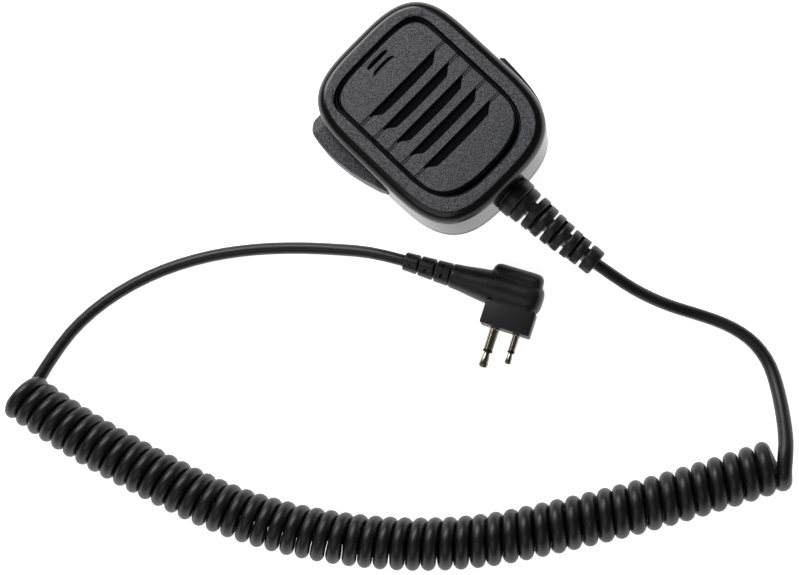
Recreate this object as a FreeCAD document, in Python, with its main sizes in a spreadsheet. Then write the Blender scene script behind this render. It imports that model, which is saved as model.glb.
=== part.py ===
"""Remote speaker microphone: head with talk button, grille, rear clip, curly cord and two-pin plug.

Millimetres, +Z up. The head lies on its rear clip with its face up, its top towards +Y and its
cord leaving towards -Y. The origin is on the surface it lies on, at the middle of the head's outline.
"""
import FreeCAD, Part
import Sketcher
import math
import os

from FreeCAD import Placement, Rotation, Vector

doc = FreeCAD.newDocument("SpeakerMicrophone")
sheet = doc.addObject("Spreadsheet::Sheet", "Sizes")

SIZES = {
    # head
    "axis_x": 1.15, "head_width": 59.0, "head_length": 75.0, "head_back_z": 10.0, "parting_z": 14.0,
    "face_z": 37.0, "wall": 2.6, "front_radius": 4.0, "back_radius": 2.5, "corner_top": 15.0,
    "corner_bottom": 20.0,
    # grille panel and the groove round it
    "groove_width": 44.6, "groove_length": 62.4, "groove_y": 0.75, "groove_depth": 1.5, "panel_width": 40.4,
    "panel_length": 56.6, "panel_y": 1.15, "panel_corner_top": 8.0, "panel_corner_bottom": 14.0,
    "flange_thickness": 1.2, "slot_count": 5, "slot_pitch": 6.65, "slot_first_y": 14.0,
    "slot_width": 31.0, "slot_height": 3.4, "slit_width": 40.0, "slit_height": 0.9,
    "mic_slit_width": 10.0, "mic_slit_height": 1.3, "mic_slit_y": 26.0, "mic_slit_pitch": 3.1,
    # speaker, microphone and board
    "speaker_y": 1.2, "speaker_radius": 18.0, "speaker_depth": 5.6, "magnet_radius": 10.0,
    "magnet_depth": 5.0, "cloth_thickness": 0.4, "gasket_thickness": 0.8, "mic_y": 25.0,
    "mic_radius": 3.0, "mic_depth": 2.7, "holder_radius": 4.1, "board_width": 46.0, "board_length": 50.0,
    "board_thickness": 1.2, "board_z": 17.0, "board_y": 0.5, "post_radius": 2.2, "post_x": 20.6,
    "post_top_y": 21.0, "post_bottom_y": -20.0, "boss_radius": 2.8, "boss_x": 21.2, "boss_top_y": 29.0,
    "boss_bottom_y": -28.5, "clamp_x": 6.5, "screw_radius": 1.2, "screw_head_radius": 2.2, "screw_length": 9.0,
    # talk button on the left side
    "button_y": 12.3, "button_length": 32.5, "button_bulge": 5.6, "button_z": 22.5, "button_height": 12.0,
    "button_gap": 0.3, "recess_x": -28.3, "opening_y": 9.0, "opening_length": 23.0, "opening_height": 9.6,
    "button_inner_x": -25.3, "flange_x": -26.5,
    "switch_y": 14.0, "switch_size": 6.0, "switch_height": 5.0, "switch_x": -18.0, "plunger_radius": 1.4,
    # earpiece socket and its rubber cover on the right side
    "socket_y": -10.0, "socket_z": 24.0, "socket_bore": 1.8, "socket_depth": 13.0, "socket_width": 6.4,
    "cover_length": 23.0, "cover_height": 10.0, "cover_proud": 2.95, "cover_y": -2.4, "cover_gap": 0.35,
    # rear clip
    "clip_y": 6.0, "stud_radius": 5.0, "clip_base_width": 20.0, "clip_base_length": 24.0, "clip_base_z": 7.6,
    "clip_base_thickness": 2.0, "ear_thickness": 2.0, "ear_length": 8.0, "pin_radius": 1.2, "pin_z": 4.6,
    "pin_y": 15.0, "clip_width": 26.0, "clip_length": 56.0, "clip_thickness": 2.2, "clip_plate_y": -4.0,
    "clip_lip_height": 6.6, "pin_gap": 0.05,
    # cord and boot
    "cord_z": 21.0, "collar_radius": 7.2, "collar_length": 4.6, "boot_core": 3.6, "tail_radius": 2.15,
    "coil_radius": 9.25, "boot_neck": 6.0, "boot_start": 6.5,
    "boot_end": 4.6, "boot_slits": 7, "boot_pitch": 4.25, "slit_gap": 1.6, "web": 3.6,
    # plug
    "relief_length": 18.0, "relief_start": 3.3, "relief_end": 4.3, "plug_body_length": 13.4,
    "plug_body_end": 6.2, "plug_head_length": 18.6, "plug_head_width": 14.4, "plug_thickness": 12.2,
    "block_length": 17.6, "block_width": 8.4, "block_thickness": 9.6, "speaker_pin_radius": 1.75,
    "speaker_pin_length": 14.7, "mic_pin_radius": 1.25, "mic_pin_length": 11.0, "speaker_pin_along": 38.2,
    "mic_pin_along": 46.2, "pin_root_side": 13.4,
}
for row, (name, value) in enumerate(SIZES.items(), start=1):
    sheet.set(f"A{row}", name)
    sheet.set(f"B{row}", str(value))
    sheet.setAlias(f"B{row}", name)
doc.recompute()

EPS = 1e-4
parts = []


def size(name):
    """The value of one cell of the sheet."""
    return float(getattr(sheet, name))


def keep(shape_object, label):
    """Registers a finished sub-part under its file name."""
    shape_object.Label = label
    parts.append(shape_object)
    return shape_object


def new_body(label):
    """A PartDesign body on the head's own axis."""
    body = doc.addObject("PartDesign::Body", label)
    body.setExpression("Placement.Base.x", "Sizes.axis_x")
    return body


def origin_plane(body, role):
    return next(f for f in body.Origin.OriginFeatures if f.Role == role)


def new_sketch(body, role, z="0", y="0", x="0"):
    """A sketch on an origin plane; x, y and z are expressions in the plane's own axes."""
    sketch = body.newObject("Sketcher::SketchObject", f"{body.Name}_sketch")
    sketch.AttachmentSupport = (origin_plane(body, role), [""])
    sketch.MapMode = "FlatFace"
    for axis, expression in (("x", x), ("y", y), ("z", z)):
        sketch.setExpression(f".AttachmentOffset.Base.{axis}", f"({expression}) * 1 mm")
    return sketch


def rectangle(body, role, width, height, **offset):
    """A centred rectangle whose sides are bound to two expressions."""
    sketch = new_sketch(body, role, **offset)
    corners = [Vector(-5, -4, 0), Vector(5, -4, 0), Vector(5, 4, 0), Vector(-5, 4, 0)]
    for start, end in zip(corners, corners[1:] + corners[:1]):
        sketch.addGeometry(Part.LineSegment(start, end), False)
    for line in range(4):
        sketch.addConstraint(Sketcher.Constraint("Coincident", line, 2, (line + 1) % 4, 1))
    for line in (0, 2):
        sketch.addConstraint(Sketcher.Constraint("Horizontal", line))
    for line in (1, 3):
        sketch.addConstraint(Sketcher.Constraint("Vertical", line))
    sketch.addConstraint(Sketcher.Constraint("Symmetric", 0, 1, 1, 2, -1, 1))
    wide = sketch.addConstraint(Sketcher.Constraint("DistanceX", 0, 1, 0, 2, 10.0))
    high = sketch.addConstraint(Sketcher.Constraint("DistanceY", 1, 1, 1, 2, 8.0))
    sketch.setExpression(f"Constraints[{wide}]", f"({width}) * 1 mm")
    sketch.setExpression(f"Constraints[{high}]", f"({height}) * 1 mm")
    return sketch


def rounded_rectangle(body, role, width, height, top, bottom, **offset):
    """A centred rectangle with one radius on its two upper corners and another on its two lower ones."""
    sketch = new_sketch(body, role, **offset)
    half_w, half_h, radius = 22.0, 30.0, 8.0
    centres = [Vector(half_w - radius, radius - half_h, 0), Vector(half_w - radius, half_h - radius, 0),
               Vector(radius - half_w, half_h - radius, 0), Vector(radius - half_w, radius - half_h, 0)]
    up = Vector(0, 0, 1)
    for corner, centre in enumerate(centres):
        angle = (corner - 1) * math.pi / 2
        before = centres[corner - 1]
        out = Vector(math.cos(angle), math.sin(angle), 0) * radius
        bend = Part.ArcOfCircle(Part.Circle(centre, up, radius), angle, angle + math.pi / 2)
        sketch.addGeometry(Part.LineSegment(before + out, centre + out), False)
        sketch.addGeometry(bend, False)
    for item in range(8):
        sketch.addConstraint(Sketcher.Constraint("Tangent", item, 2, (item + 1) % 8, 1))
    for line, way in ((0, "Horizontal"), (2, "Vertical"), (4, "Horizontal"), (6, "Vertical")):
        sketch.addConstraint(Sketcher.Constraint(way, line))
    sketch.addConstraint(Sketcher.Constraint("Equal", 1, 7))
    sketch.addConstraint(Sketcher.Constraint("Equal", 3, 5))
    bound = [(Sketcher.Constraint("Radius", 1, radius), bottom),
             (Sketcher.Constraint("Radius", 3, radius), top),
             (Sketcher.Constraint("DistanceX", 6, 2, 2, 1, 2 * half_w), width),
             (Sketcher.Constraint("DistanceX", -1, 1, 2, 1, half_w), f"({width}) / 2"),
             (Sketcher.Constraint("DistanceY", 0, 1, 4, 2, 2 * half_h), height),
             (Sketcher.Constraint("DistanceY", -1, 1, 4, 2, half_h), f"({height}) / 2")]
    for constraint, expression in bound:
        index = sketch.addConstraint(constraint)
        sketch.setExpression(f"Constraints[{index}]", f"({expression}) * 1 mm")
    return sketch


def circle(body, role, radius, **offset):
    """A circle about the sketch's origin."""
    sketch = new_sketch(body, role, **offset)
    sketch.addGeometry(Part.Circle(Vector(0, 0, 0), Vector(0, 0, 1), 3.0), False)
    sketch.addConstraint(Sketcher.Constraint("Coincident", 0, 3, -1, 1))
    radial = sketch.addConstraint(Sketcher.Constraint("Radius", 0, 3.0))
    sketch.setExpression(f"Constraints[{radial}]", f"({radius}) * 1 mm")
    return sketch


def feature(body, kind, sketch, length, reverse=False, midplane=False):
    """A Pad or Pocket of a bound length; a Pocket has to take material away."""
    before = body.Shape.Volume if body.Tip else 0.0
    made = body.newObject(f"PartDesign::{kind}", f"{body.Name}_{kind}")
    made.Profile = sketch
    made.Reversed = reverse
    if midplane:
        made.SideType = "Symmetric"
    made.setExpression("Length", f"({length}) * 1 mm")
    doc.recompute()
    if kind == "Pocket" and made.Shape.Volume > before - EPS:
        raise RuntimeError(f"{made.Name} cuts nothing")
    return made


def round_edges(body, test, radius, kind="Fillet"):
    """Fillets or chamfers the edges of the body's tip that pass the test."""
    base = body.Tip
    names = [f"Edge{i}" for i, edge in enumerate(base.Shape.Edges, start=1) if test(edge)]
    if not names:
        raise RuntimeError(f"{body.Name} has no edge to round")
    made = body.newObject(f"PartDesign::{kind}", f"{body.Name}_{kind}")
    made.Base = (base, names)
    made.setExpression("Radius" if kind == "Fillet" else "Size", f"({radius}) * 1 mm")
    doc.recompute()
    return made


def upright(edge):
    """True for a straight edge along Z."""
    direction = edge.tangentAt(edge.FirstParameter)
    return isinstance(edge.Curve, Part.Line) and abs(direction.z) > 1 - EPS


def level(edge, z):
    """True for an edge that lies at one height."""
    box = edge.BoundBox
    return abs(box.ZMin - z) < EPS and abs(box.ZMax - z) < EPS


def solid(kind, name, at=(0, 0, 0), turn=None, **bound):
    """A Part primitive with bound sizes; at is three expressions from the head's axis."""
    made = doc.addObject(f"Part::{kind}", name)
    for key, expression in bound.items():
        made.setExpression(key, f"({expression}) * 1 mm")
    made.Placement = Placement(Vector(0, 0, 0), turn or Rotation())
    made.setExpression(".Placement.Base.x", f"({at[0]} + Sizes.axis_x) * 1 mm")
    made.setExpression(".Placement.Base.y", f"({at[1]}) * 1 mm")
    made.setExpression(".Placement.Base.z", f"({at[2]}) * 1 mm")
    return made


def join(name, pieces):
    made = doc.addObject("Part::MultiFuse", name)
    made.Shapes = pieces
    doc.recompute()
    return made


def group(name, pieces):
    """Several separate solids of one node, such as a set of screws."""
    made = doc.addObject("Part::Compound", name)
    made.Links = pieces
    doc.recompute()
    return made


def cut(name, base, tools):
    made = doc.addObject("Part::Cut", name)
    made.Base = base
    made.Tool = tools[0] if len(tools) == 1 else join(f"{name}_tools", tools)
    doc.recompute()
    return made


ALONG_X = Rotation(Vector(0, 1, 0), 90)
ALONG_MINUS_X = Rotation(Vector(0, 1, 0), -90)
ALONG_MINUS_Y = Rotation(Vector(1, 0, 0), 90)


OUTSIDE = ("Sizes.head_width", "Sizes.head_length", "Sizes.corner_top", "Sizes.corner_bottom")


def inset(distance):
    """The head's outline, drawn in by a distance."""
    return (f"Sizes.head_width - 2 * ({distance})", f"Sizes.head_length - 2 * ({distance})",
            f"Sizes.corner_top - ({distance})", f"Sizes.corner_bottom - ({distance})")


INSIDE = inset("Sizes.wall")
CEILING = "(Sizes.face_z - Sizes.wall - 0.2)"
CLAMP_Y = "-Sizes.head_length / 2 + 5.8"
CLAMP_TOP = "(Sizes.cord_z + Sizes.tail_radius)"
CLAMPS = [(f"{side} * Sizes.clamp_x", CLAMP_Y) for side in (1, -1)]


# ---- front housing: one moulded shell with its bosses, open at the back ----
def front_housing():
    body = new_body("front_shell")
    feature(body, "Pad", rounded_rectangle(body, "XY_Plane", *OUTSIDE, z="Sizes.parting_z"),
            "Sizes.face_z - Sizes.parting_z")
    round_edges(body, lambda e: level(e, size("face_z")), "Sizes.front_radius")
    hollow = rounded_rectangle(body, "XY_Plane", *INSIDE, z="Sizes.parting_z")
    feature(body, "Pocket", hollow, f"{CEILING} - Sizes.parting_z", reverse=True)
    window = rounded_rectangle(body, "XY_Plane", "Sizes.groove_width", "Sizes.groove_length",
                               "Sizes.panel_corner_top + 2", "Sizes.panel_corner_bottom + 2",
                               z="Sizes.face_z + 1", y="Sizes.groove_y")
    feature(body, "Pocket", window, "Sizes.wall + 3")
    recess = rectangle(body, "YZ_Plane", "Sizes.button_length", "Sizes.button_height",
                       x="Sizes.button_y", y="Sizes.button_z", z="-Sizes.head_width / 2 - 1")
    feature(body, "Pocket", recess, "Sizes.head_width / 2 + 1 + Sizes.recess_x", reverse=True)
    opening = rectangle(body, "YZ_Plane", "Sizes.opening_length", "Sizes.opening_height",
                        x="Sizes.opening_y", y="Sizes.button_z", z="-Sizes.head_width / 2 - 1")
    feature(body, "Pocket", opening, "Sizes.wall + 2", reverse=True)
    boot = circle(body, "XZ_Plane", "Sizes.boot_neck", y="Sizes.cord_z", z="Sizes.head_length / 2 + 1")
    feature(body, "Pocket", boot, "Sizes.wall + 2")
    socket = circle(body, "YZ_Plane", "3.4", x="Sizes.socket_y", y="Sizes.socket_z",
                    z="Sizes.head_width / 2 + 1")
    feature(body, "Pocket", socket, "Sizes.wall + 2")
    return body


front_shell = front_housing()
BOSSES = [(f"{side} * Sizes.boss_x", end) for side in (1, -1)
          for end in ("Sizes.boss_top_y", "Sizes.boss_bottom_y")]
POSTS = [(f"{side} * Sizes.post_x", end) for side in (1, -1)
         for end in ("Sizes.post_top_y", "Sizes.post_bottom_y")]
BOARD_TOP = "(Sizes.board_z + Sizes.board_thickness)"
boss_solids = [solid("Cylinder", "boss", (x, y, "Sizes.parting_z"), Radius="Sizes.boss_radius",
                     Height=f"{CEILING} - Sizes.parting_z") for x, y in BOSSES]
post_solids = [solid("Cylinder", "post", (x, y, BOARD_TOP), Radius="Sizes.post_radius",
                     Height=f"{CEILING} - {BOARD_TOP}") for x, y in POSTS]
clamp_posts = [solid("Cylinder", "clamp_post", (x, y, f"{CLAMP_TOP} + 0.05"), Radius="Sizes.post_radius",
                     Height=f"{CEILING} - {CLAMP_TOP} - 0.05") for x, y in CLAMPS]
boss_holes = [solid("Cylinder", "boss_hole", (x, y, "Sizes.parting_z - 1"), Radius="Sizes.screw_radius",
                    Height="Sizes.screw_length + 1") for x, y in BOSSES]
post_holes = [solid("Cylinder", "post_hole", (x, y, "Sizes.board_z"), Radius="0.8", Height="6")
              for x, y in POSTS]
clamp_holes = [solid("Cylinder", "clamp_hole", (x, y, f"{CLAMP_TOP} - 4"), Radius="0.9", Height="9")
               for x, y in CLAMPS]
front_blank = join("front_housing_with_bosses", [front_shell] + boss_solids + post_solids + clamp_posts)
keep(cut("front_housing_drilled", front_blank, boss_holes + post_holes + clamp_holes), "front_housing")


# ---- rear cover: shallow tray that closes the back ----
def rear_cover():
    body = new_body("rear_shell")
    feature(body, "Pad", rounded_rectangle(body, "XY_Plane", *OUTSIDE, z="Sizes.head_back_z"),
            "Sizes.parting_z - Sizes.head_back_z")
    round_edges(body, lambda e: level(e, size("head_back_z")), "Sizes.back_radius")
    hollow = rounded_rectangle(body, "XY_Plane", *INSIDE, z="Sizes.head_back_z + Sizes.wall")
    feature(body, "Pocket", hollow, "Sizes.parting_z - Sizes.head_back_z", reverse=True)
    return body


rear_shell = rear_cover()
rear_posts = [solid("Cylinder", "rear_post", (x, y, "Sizes.head_back_z + 1"), Radius="Sizes.boss_radius",
                    Height="Sizes.parting_z - Sizes.head_back_z - 1") for x, y in BOSSES]
rear_holes = [solid("Cylinder", "rear_hole", (x, y, "Sizes.head_back_z - 1"),
                    Radius="Sizes.screw_radius + 0.2", Height="6") for x, y in BOSSES]
rear_counterbores = [solid("Cylinder", "rear_counterbore", (x, y, "Sizes.head_back_z - 1"),
                           Radius="Sizes.screw_head_radius + 0.2", Height="2.6") for x, y in BOSSES]
clip_hole = solid("Cylinder", "clip_hole", ("0", "Sizes.clip_y", "Sizes.head_back_z - 1"), Radius="2",
                  Height="5")
keep(cut("rear_cover_drilled", join("rear_cover_with_posts", [rear_shell] + rear_posts),
         rear_holes + rear_counterbores + [clip_hole]), "rear_cover")


def screws(name, places, z_head, head_radius, head_height, shank_radius, shank_length):
    """A set of pan-head screws driven towards +Z, heads at z_head."""
    each = []
    for x, y in places:
        head = solid("Cylinder", f"{name}_head", (x, y, z_head), Radius=head_radius, Height=head_height)
        shank = solid("Cylinder", f"{name}_shank", (x, y, z_head), Radius=shank_radius,
                      Height=f"{head_height} + {shank_length}")
        each.append(join(f"{name}_one", [head, shank]))
    return keep(group(f"{name}_set", each), name)


screws("housing_screws", BOSSES, "Sizes.head_back_z + 0.2", "Sizes.screw_head_radius", "1.4",
       "Sizes.screw_radius", "Sizes.screw_length")
screws("board_screws", POSTS, "Sizes.board_z - 1.2", "1.7", "1.2", "0.8", "Sizes.board_thickness + 4")


# ---- seal between the two halves ----
def housing_seal():
    body = new_body("seal_ring")
    feature(body, "Pad", rounded_rectangle(body, "XY_Plane", *inset("Sizes.wall + 0.05"),
                                           z="Sizes.parting_z - 0.6"), "1.2")
    feature(body, "Pocket", rounded_rectangle(body, "XY_Plane", *inset("Sizes.wall + 0.85"),
                                              z="Sizes.parting_z - 0.6"), "2", reverse=True)
    return body


seal_ring = housing_seal()
seal_notches = [solid("Cylinder", "seal_notch", (x, y, "Sizes.parting_z - 2"),
                      Radius="Sizes.boss_radius + 0.1", Height="4") for x, y in BOSSES]
keep(cut("housing_seal_notched", seal_ring, seal_notches), "housing_seal")


# ---- grille panel: raised plate on a lower flange, whose step makes the groove ----
def grille_panel():
    body = new_body("grille_panel")
    flange_z = "Sizes.face_z - Sizes.groove_depth - Sizes.flange_thickness"
    flange = rounded_rectangle(body, "XY_Plane", "Sizes.groove_width - 0.1", "Sizes.groove_length - 0.1",
                               "Sizes.panel_corner_top + 1.95", "Sizes.panel_corner_bottom + 1.95",
                               z=flange_z, y="Sizes.groove_y")
    feature(body, "Pad", flange, "Sizes.flange_thickness")
    feature(body, "Pad", rounded_rectangle(body, "XY_Plane", "Sizes.panel_width", "Sizes.panel_length",
                                           "Sizes.panel_corner_top", "Sizes.panel_corner_bottom",
                                           z=flange_z, y="Sizes.panel_y"),
            "Sizes.groove_depth + Sizes.flange_thickness - 0.1")
    round_edges(body, lambda e: level(e, size("face_z") - 0.1), "0.4")
    cuts = []
    for width, height, depth in (("Sizes.slit_width", "Sizes.slit_height", "0.9"),
                                 ("Sizes.slot_width", "Sizes.slot_height", "4")):
        cuts.append(feature(body, "Pocket", rectangle(
            body, "XY_Plane", width, height, z="Sizes.face_z",
            y=f"Sizes.slot_first_y - ({height}) / 2"), depth))
    pattern = body.newObject("PartDesign::LinearPattern", "slots")
    pattern.Originals = cuts
    axis = next(f for f in body.Origin.OriginFeatures if f.Role == "Y_Axis")
    pattern.Direction = (axis, [""])
    pattern.Reversed = True
    pattern.setExpression("Length", "(Sizes.slot_count - 1) * Sizes.slot_pitch * 1 mm")
    pattern.Occurrences = int(size("slot_count"))
    body.Tip = pattern
    doc.recompute()
    for step in (0, 1):
        feature(body, "Pocket", rectangle(body, "XY_Plane", "Sizes.mic_slit_width", "Sizes.mic_slit_height",
                                          z="Sizes.face_z", y=f"Sizes.mic_slit_y - {step} * Sizes.mic_slit_pitch"),
                "4")
    return keep(body, "grille_panel")


grille_panel()
GRILLE_BACK = "Sizes.face_z - Sizes.groove_depth - Sizes.flange_thickness"

# ---- speaker stack behind the grille ----
keep(solid("Cylinder", "dust_cloth", ("0", "Sizes.speaker_y", f"{GRILLE_BACK} - Sizes.cloth_thickness"),
           Radius="Sizes.speaker_radius", Height="Sizes.cloth_thickness"), "dust_cloth")
SPEAKER_FRONT = f"{GRILLE_BACK} - Sizes.cloth_thickness - Sizes.gasket_thickness"
keep(cut("speaker_gasket_ring",
         solid("Cylinder", "gasket_disc", ("0", "Sizes.speaker_y", SPEAKER_FRONT),
               Radius="Sizes.speaker_radius", Height="Sizes.gasket_thickness"),
         [solid("Cylinder", "gasket_hole", ("0", "Sizes.speaker_y", f"{SPEAKER_FRONT} - 1"),
                Radius="Sizes.speaker_radius - 2", Height="4")]), "speaker_gasket")
BASKET_Z = f"{SPEAKER_FRONT} - Sizes.speaker_depth"
keep(cut("speaker_basket",
         join("basket_blank", [
             solid("Cylinder", "basket_rim", ("0", "Sizes.speaker_y", f"{SPEAKER_FRONT} - 1"),
                   Radius="Sizes.speaker_radius", Height="1"),
             solid("Cone", "basket_bowl", ("0", "Sizes.speaker_y", BASKET_Z),
                   Radius1="Sizes.magnet_radius + 1", Radius2="Sizes.speaker_radius - 1",
                   Height="Sizes.speaker_depth - 0.5")]),
         [solid("Cone", "basket_space", ("0", "Sizes.speaker_y", f"{BASKET_Z} + 0.8"),
                Radius1="Sizes.magnet_radius", Radius2="Sizes.speaker_radius - 1.6",
                Height="Sizes.speaker_depth")]), "speaker_frame")
keep(cut("speaker_cone_shell",
         solid("Cone", "cone_outer", ("0", "Sizes.speaker_y", f"{SPEAKER_FRONT} - 3.2"), Radius1="5",
               Radius2="Sizes.speaker_radius - 3", Height="3"),
         [solid("Cone", "cone_inner", ("0", "Sizes.speaker_y", f"{SPEAKER_FRONT} - 2.8"), Radius1="5",
                Radius2="Sizes.speaker_radius - 3", Height="3")]), "speaker_cone")
keep(solid("Cylinder", "voice_coil_former", ("0", "Sizes.speaker_y", f"{BASKET_Z} + 0.8"), Radius="4.4",
           Height="1.6"), "voice_coil")
keep(solid("Cylinder", "magnet_pot", ("0", "Sizes.speaker_y", f"{BASKET_Z} - Sizes.magnet_depth"),
           Radius="Sizes.magnet_radius", Height="Sizes.magnet_depth"), "speaker_magnet")

# ---- microphone capsule in its rubber holder, behind the two slits ----
MIC_FRONT = f"{GRILLE_BACK} - 0.2"
keep(cut("mic_holder_cup",
         solid("Cylinder", "holder_blank", ("0", "Sizes.mic_y", f"{MIC_FRONT} - 4"),
               Radius="Sizes.holder_radius", Height="4"),
         [solid("Cylinder", "holder_space", ("0", "Sizes.mic_y", f"{MIC_FRONT} - 3.2"),
                Radius="Sizes.mic_radius", Height="5")]), "mic_holder")
keep(solid("Cylinder", "capsule", ("0", "Sizes.mic_y", f"{MIC_FRONT} - 3.2"),
           Radius="Sizes.mic_radius", Height="Sizes.mic_depth"), "mic_capsule")


# ---- circuit board with the talk switch ----
def circuit_board():
    body = new_body("board_blank")
    feature(body, "Pad", rectangle(body, "XY_Plane", "Sizes.board_width", "Sizes.board_length",
                                   z="Sizes.board_z", y="Sizes.board_y"), "Sizes.board_thickness")
    round_edges(body, upright, "3", kind="Chamfer")
    return body


board_blank = circuit_board()
board_holes = [solid("Cylinder", "board_hole", (x, y, "Sizes.board_z - 1"), Radius="0.9", Height="4")
               for x, y in POSTS]
keep(cut("circuit_board_drilled", board_blank, board_holes), "circuit_board")

switch_blank = solid("Box", "switch_box",
                     ("Sizes.switch_x", "Sizes.switch_y - Sizes.switch_size / 2", BOARD_TOP),
                     Length="Sizes.switch_size", Width="Sizes.switch_size", Height="Sizes.switch_height")
PLUNGER_Z = f"{BOARD_TOP} + Sizes.switch_height / 2"
switch_hole = solid("Cylinder", "switch_hole", ("Sizes.switch_x - 1", "Sizes.switch_y", PLUNGER_Z), ALONG_X,
                    Radius="Sizes.plunger_radius + 0.2", Height="4")
keep(cut("talk_switch_body", switch_blank, [switch_hole]), "talk_switch")
keep(solid("Cylinder", "plunger", ("Sizes.switch_x - 2", "Sizes.switch_y", PLUNGER_Z), ALONG_X,
           Radius="Sizes.plunger_radius", Height="3"), "switch_plunger")


# ---- talk button: bow-shaped key, thickest in its upper third, with an inner flange ----
def talk_button():
    body = new_body("talk_button")
    sketch = new_sketch(body, "XY_Plane", z="Sizes.button_z - Sizes.button_height / 2 + Sizes.button_gap",
                        x="-Sizes.head_width / 2", y="Sizes.button_y")
    half = size("button_length") / 2 - size("button_gap")
    bulge = size("button_bulge")
    outline = [Vector(-0.1, half, 0), Vector(-1.0, half, 0), Vector(-bulge * 0.78, half - 4.6, 0),
               Vector(-bulge, half - 12.5, 0), Vector(-bulge * 0.82, half - 21.5, 0),
               Vector(-1.0, -half, 0), Vector(-0.1, -half, 0)]
    sketch.addGeometry(Part.LineSegment(outline[0], outline[1]), False)
    sketch.addGeometry(Part.Arc(outline[1], outline[2], outline[3]), False)
    sketch.addGeometry(Part.Arc(outline[3], outline[4], outline[5]), False)
    sketch.addGeometry(Part.LineSegment(outline[5], outline[6]), False)
    sketch.addGeometry(Part.LineSegment(outline[6], outline[0]), False)
    feature(body, "Pad", sketch, "Sizes.button_height - 2 * Sizes.button_gap")
    for width, height, start, end in (
            ("Sizes.opening_length - 2 * Sizes.button_gap", "Sizes.opening_height - 2 * Sizes.button_gap",
             "-Sizes.head_width / 2 - 0.5", "Sizes.button_inner_x"),
            ("Sizes.opening_length + 2", "Sizes.opening_height + 2", "Sizes.flange_x",
             "Sizes.button_inner_x")):
        block = rectangle(body, "YZ_Plane", width, height, x="Sizes.opening_y", y="Sizes.button_z", z=start)
        feature(body, "Pad", block, f"{end} - ({start})")
    stem = rectangle(body, "YZ_Plane", "5", "4", x="Sizes.switch_y", y=PLUNGER_Z,
                     z="Sizes.button_inner_x - 0.2")
    feature(body, "Pad", stem, "Sizes.switch_x - 2 - Sizes.button_inner_x + 0.2")
    return keep(body, "talk_button")


talk_button()

# ---- earpiece socket and its rubber cover ----
SOCKET_MOUTH = "Sizes.head_width / 2 - 0.6"
socket_box = solid("Box", "socket_box", (f"{SOCKET_MOUTH} - Sizes.socket_depth - 2",
                                         "Sizes.socket_y - Sizes.socket_width / 2",
                                         "Sizes.socket_z - Sizes.socket_width / 2"),
                   Length="Sizes.socket_depth - 0.2", Width="Sizes.socket_width", Height="Sizes.socket_width")
socket_nose = solid("Cylinder", "socket_nose", (f"{SOCKET_MOUTH} - 3", "Sizes.socket_y", "Sizes.socket_z"),
                    ALONG_X, Radius="3.1", Height="3")
socket_bore = solid("Cylinder", "socket_hole", (f"{SOCKET_MOUTH} - Sizes.socket_depth", "Sizes.socket_y",
                                                "Sizes.socket_z"), ALONG_X,
                    Radius="Sizes.socket_bore", Height="Sizes.socket_depth + 1")
keep(cut("earpiece_socket_bored", join("earpiece_socket_blank", [socket_box, socket_nose]), [socket_bore]),
     "earpiece_socket")


def socket_cover():
    """Rubber strip along the right side, proud at its pull end and flush at its strap end."""
    body = new_body("socket_cover")
    side = size("head_width") / 2 + size("cover_gap")
    length = size("cover_length")
    proud = size("cover_proud")
    sketch = new_sketch(body, "XY_Plane", z="Sizes.socket_z - Sizes.cover_height / 2", y="Sizes.cover_y")
    points = [Vector(side, 0, 0), Vector(side + proud, 0, 0), Vector(side + proud * 0.75, -length * 0.55, 0),
              Vector(side + 0.9, -length, 0), Vector(side, -length, 0)]
    sketch.addGeometry(Part.LineSegment(points[0], points[1]), False)
    sketch.addGeometry(Part.Arc(points[1], points[2], points[3]), False)
    sketch.addGeometry(Part.LineSegment(points[3], points[4]), False)
    sketch.addGeometry(Part.LineSegment(points[4], points[0]), False)
    feature(body, "Pad", sketch, "Sizes.cover_height")
    return keep(body, "socket_cover")


socket_cover()

# ---- cable clamp inside the head ----
clamp_bar = solid("Box", "clamp_bar", ("-9", f"{CLAMP_Y} - 1.9", f"{CLAMP_TOP} - 2 * Sizes.tail_radius - 2"),
                  Length="18", Width="3.8", Height="2")
bar_holes = [solid("Cylinder", "bar_hole", (x, y, f"{CLAMP_TOP} - 2 * Sizes.tail_radius - 3"), Radius="0.95",
                   Height="4") for x, y in CLAMPS]
keep(cut("clamp_bar_drilled", clamp_bar, bar_holes), "cord_clamp")
screws("clamp_screws", CLAMPS, f"{CLAMP_TOP} - 2 * Sizes.tail_radius - 3.2", "1.7", "1.2", "0.9", "10")
keep(solid("Cylinder", "cord_inside", ("0", f"{CLAMP_Y} + 2.2", "Sizes.cord_z"), ALONG_MINUS_Y,
           Radius="Sizes.tail_radius", Height="4.4"), "cord_inner_end")


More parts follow.
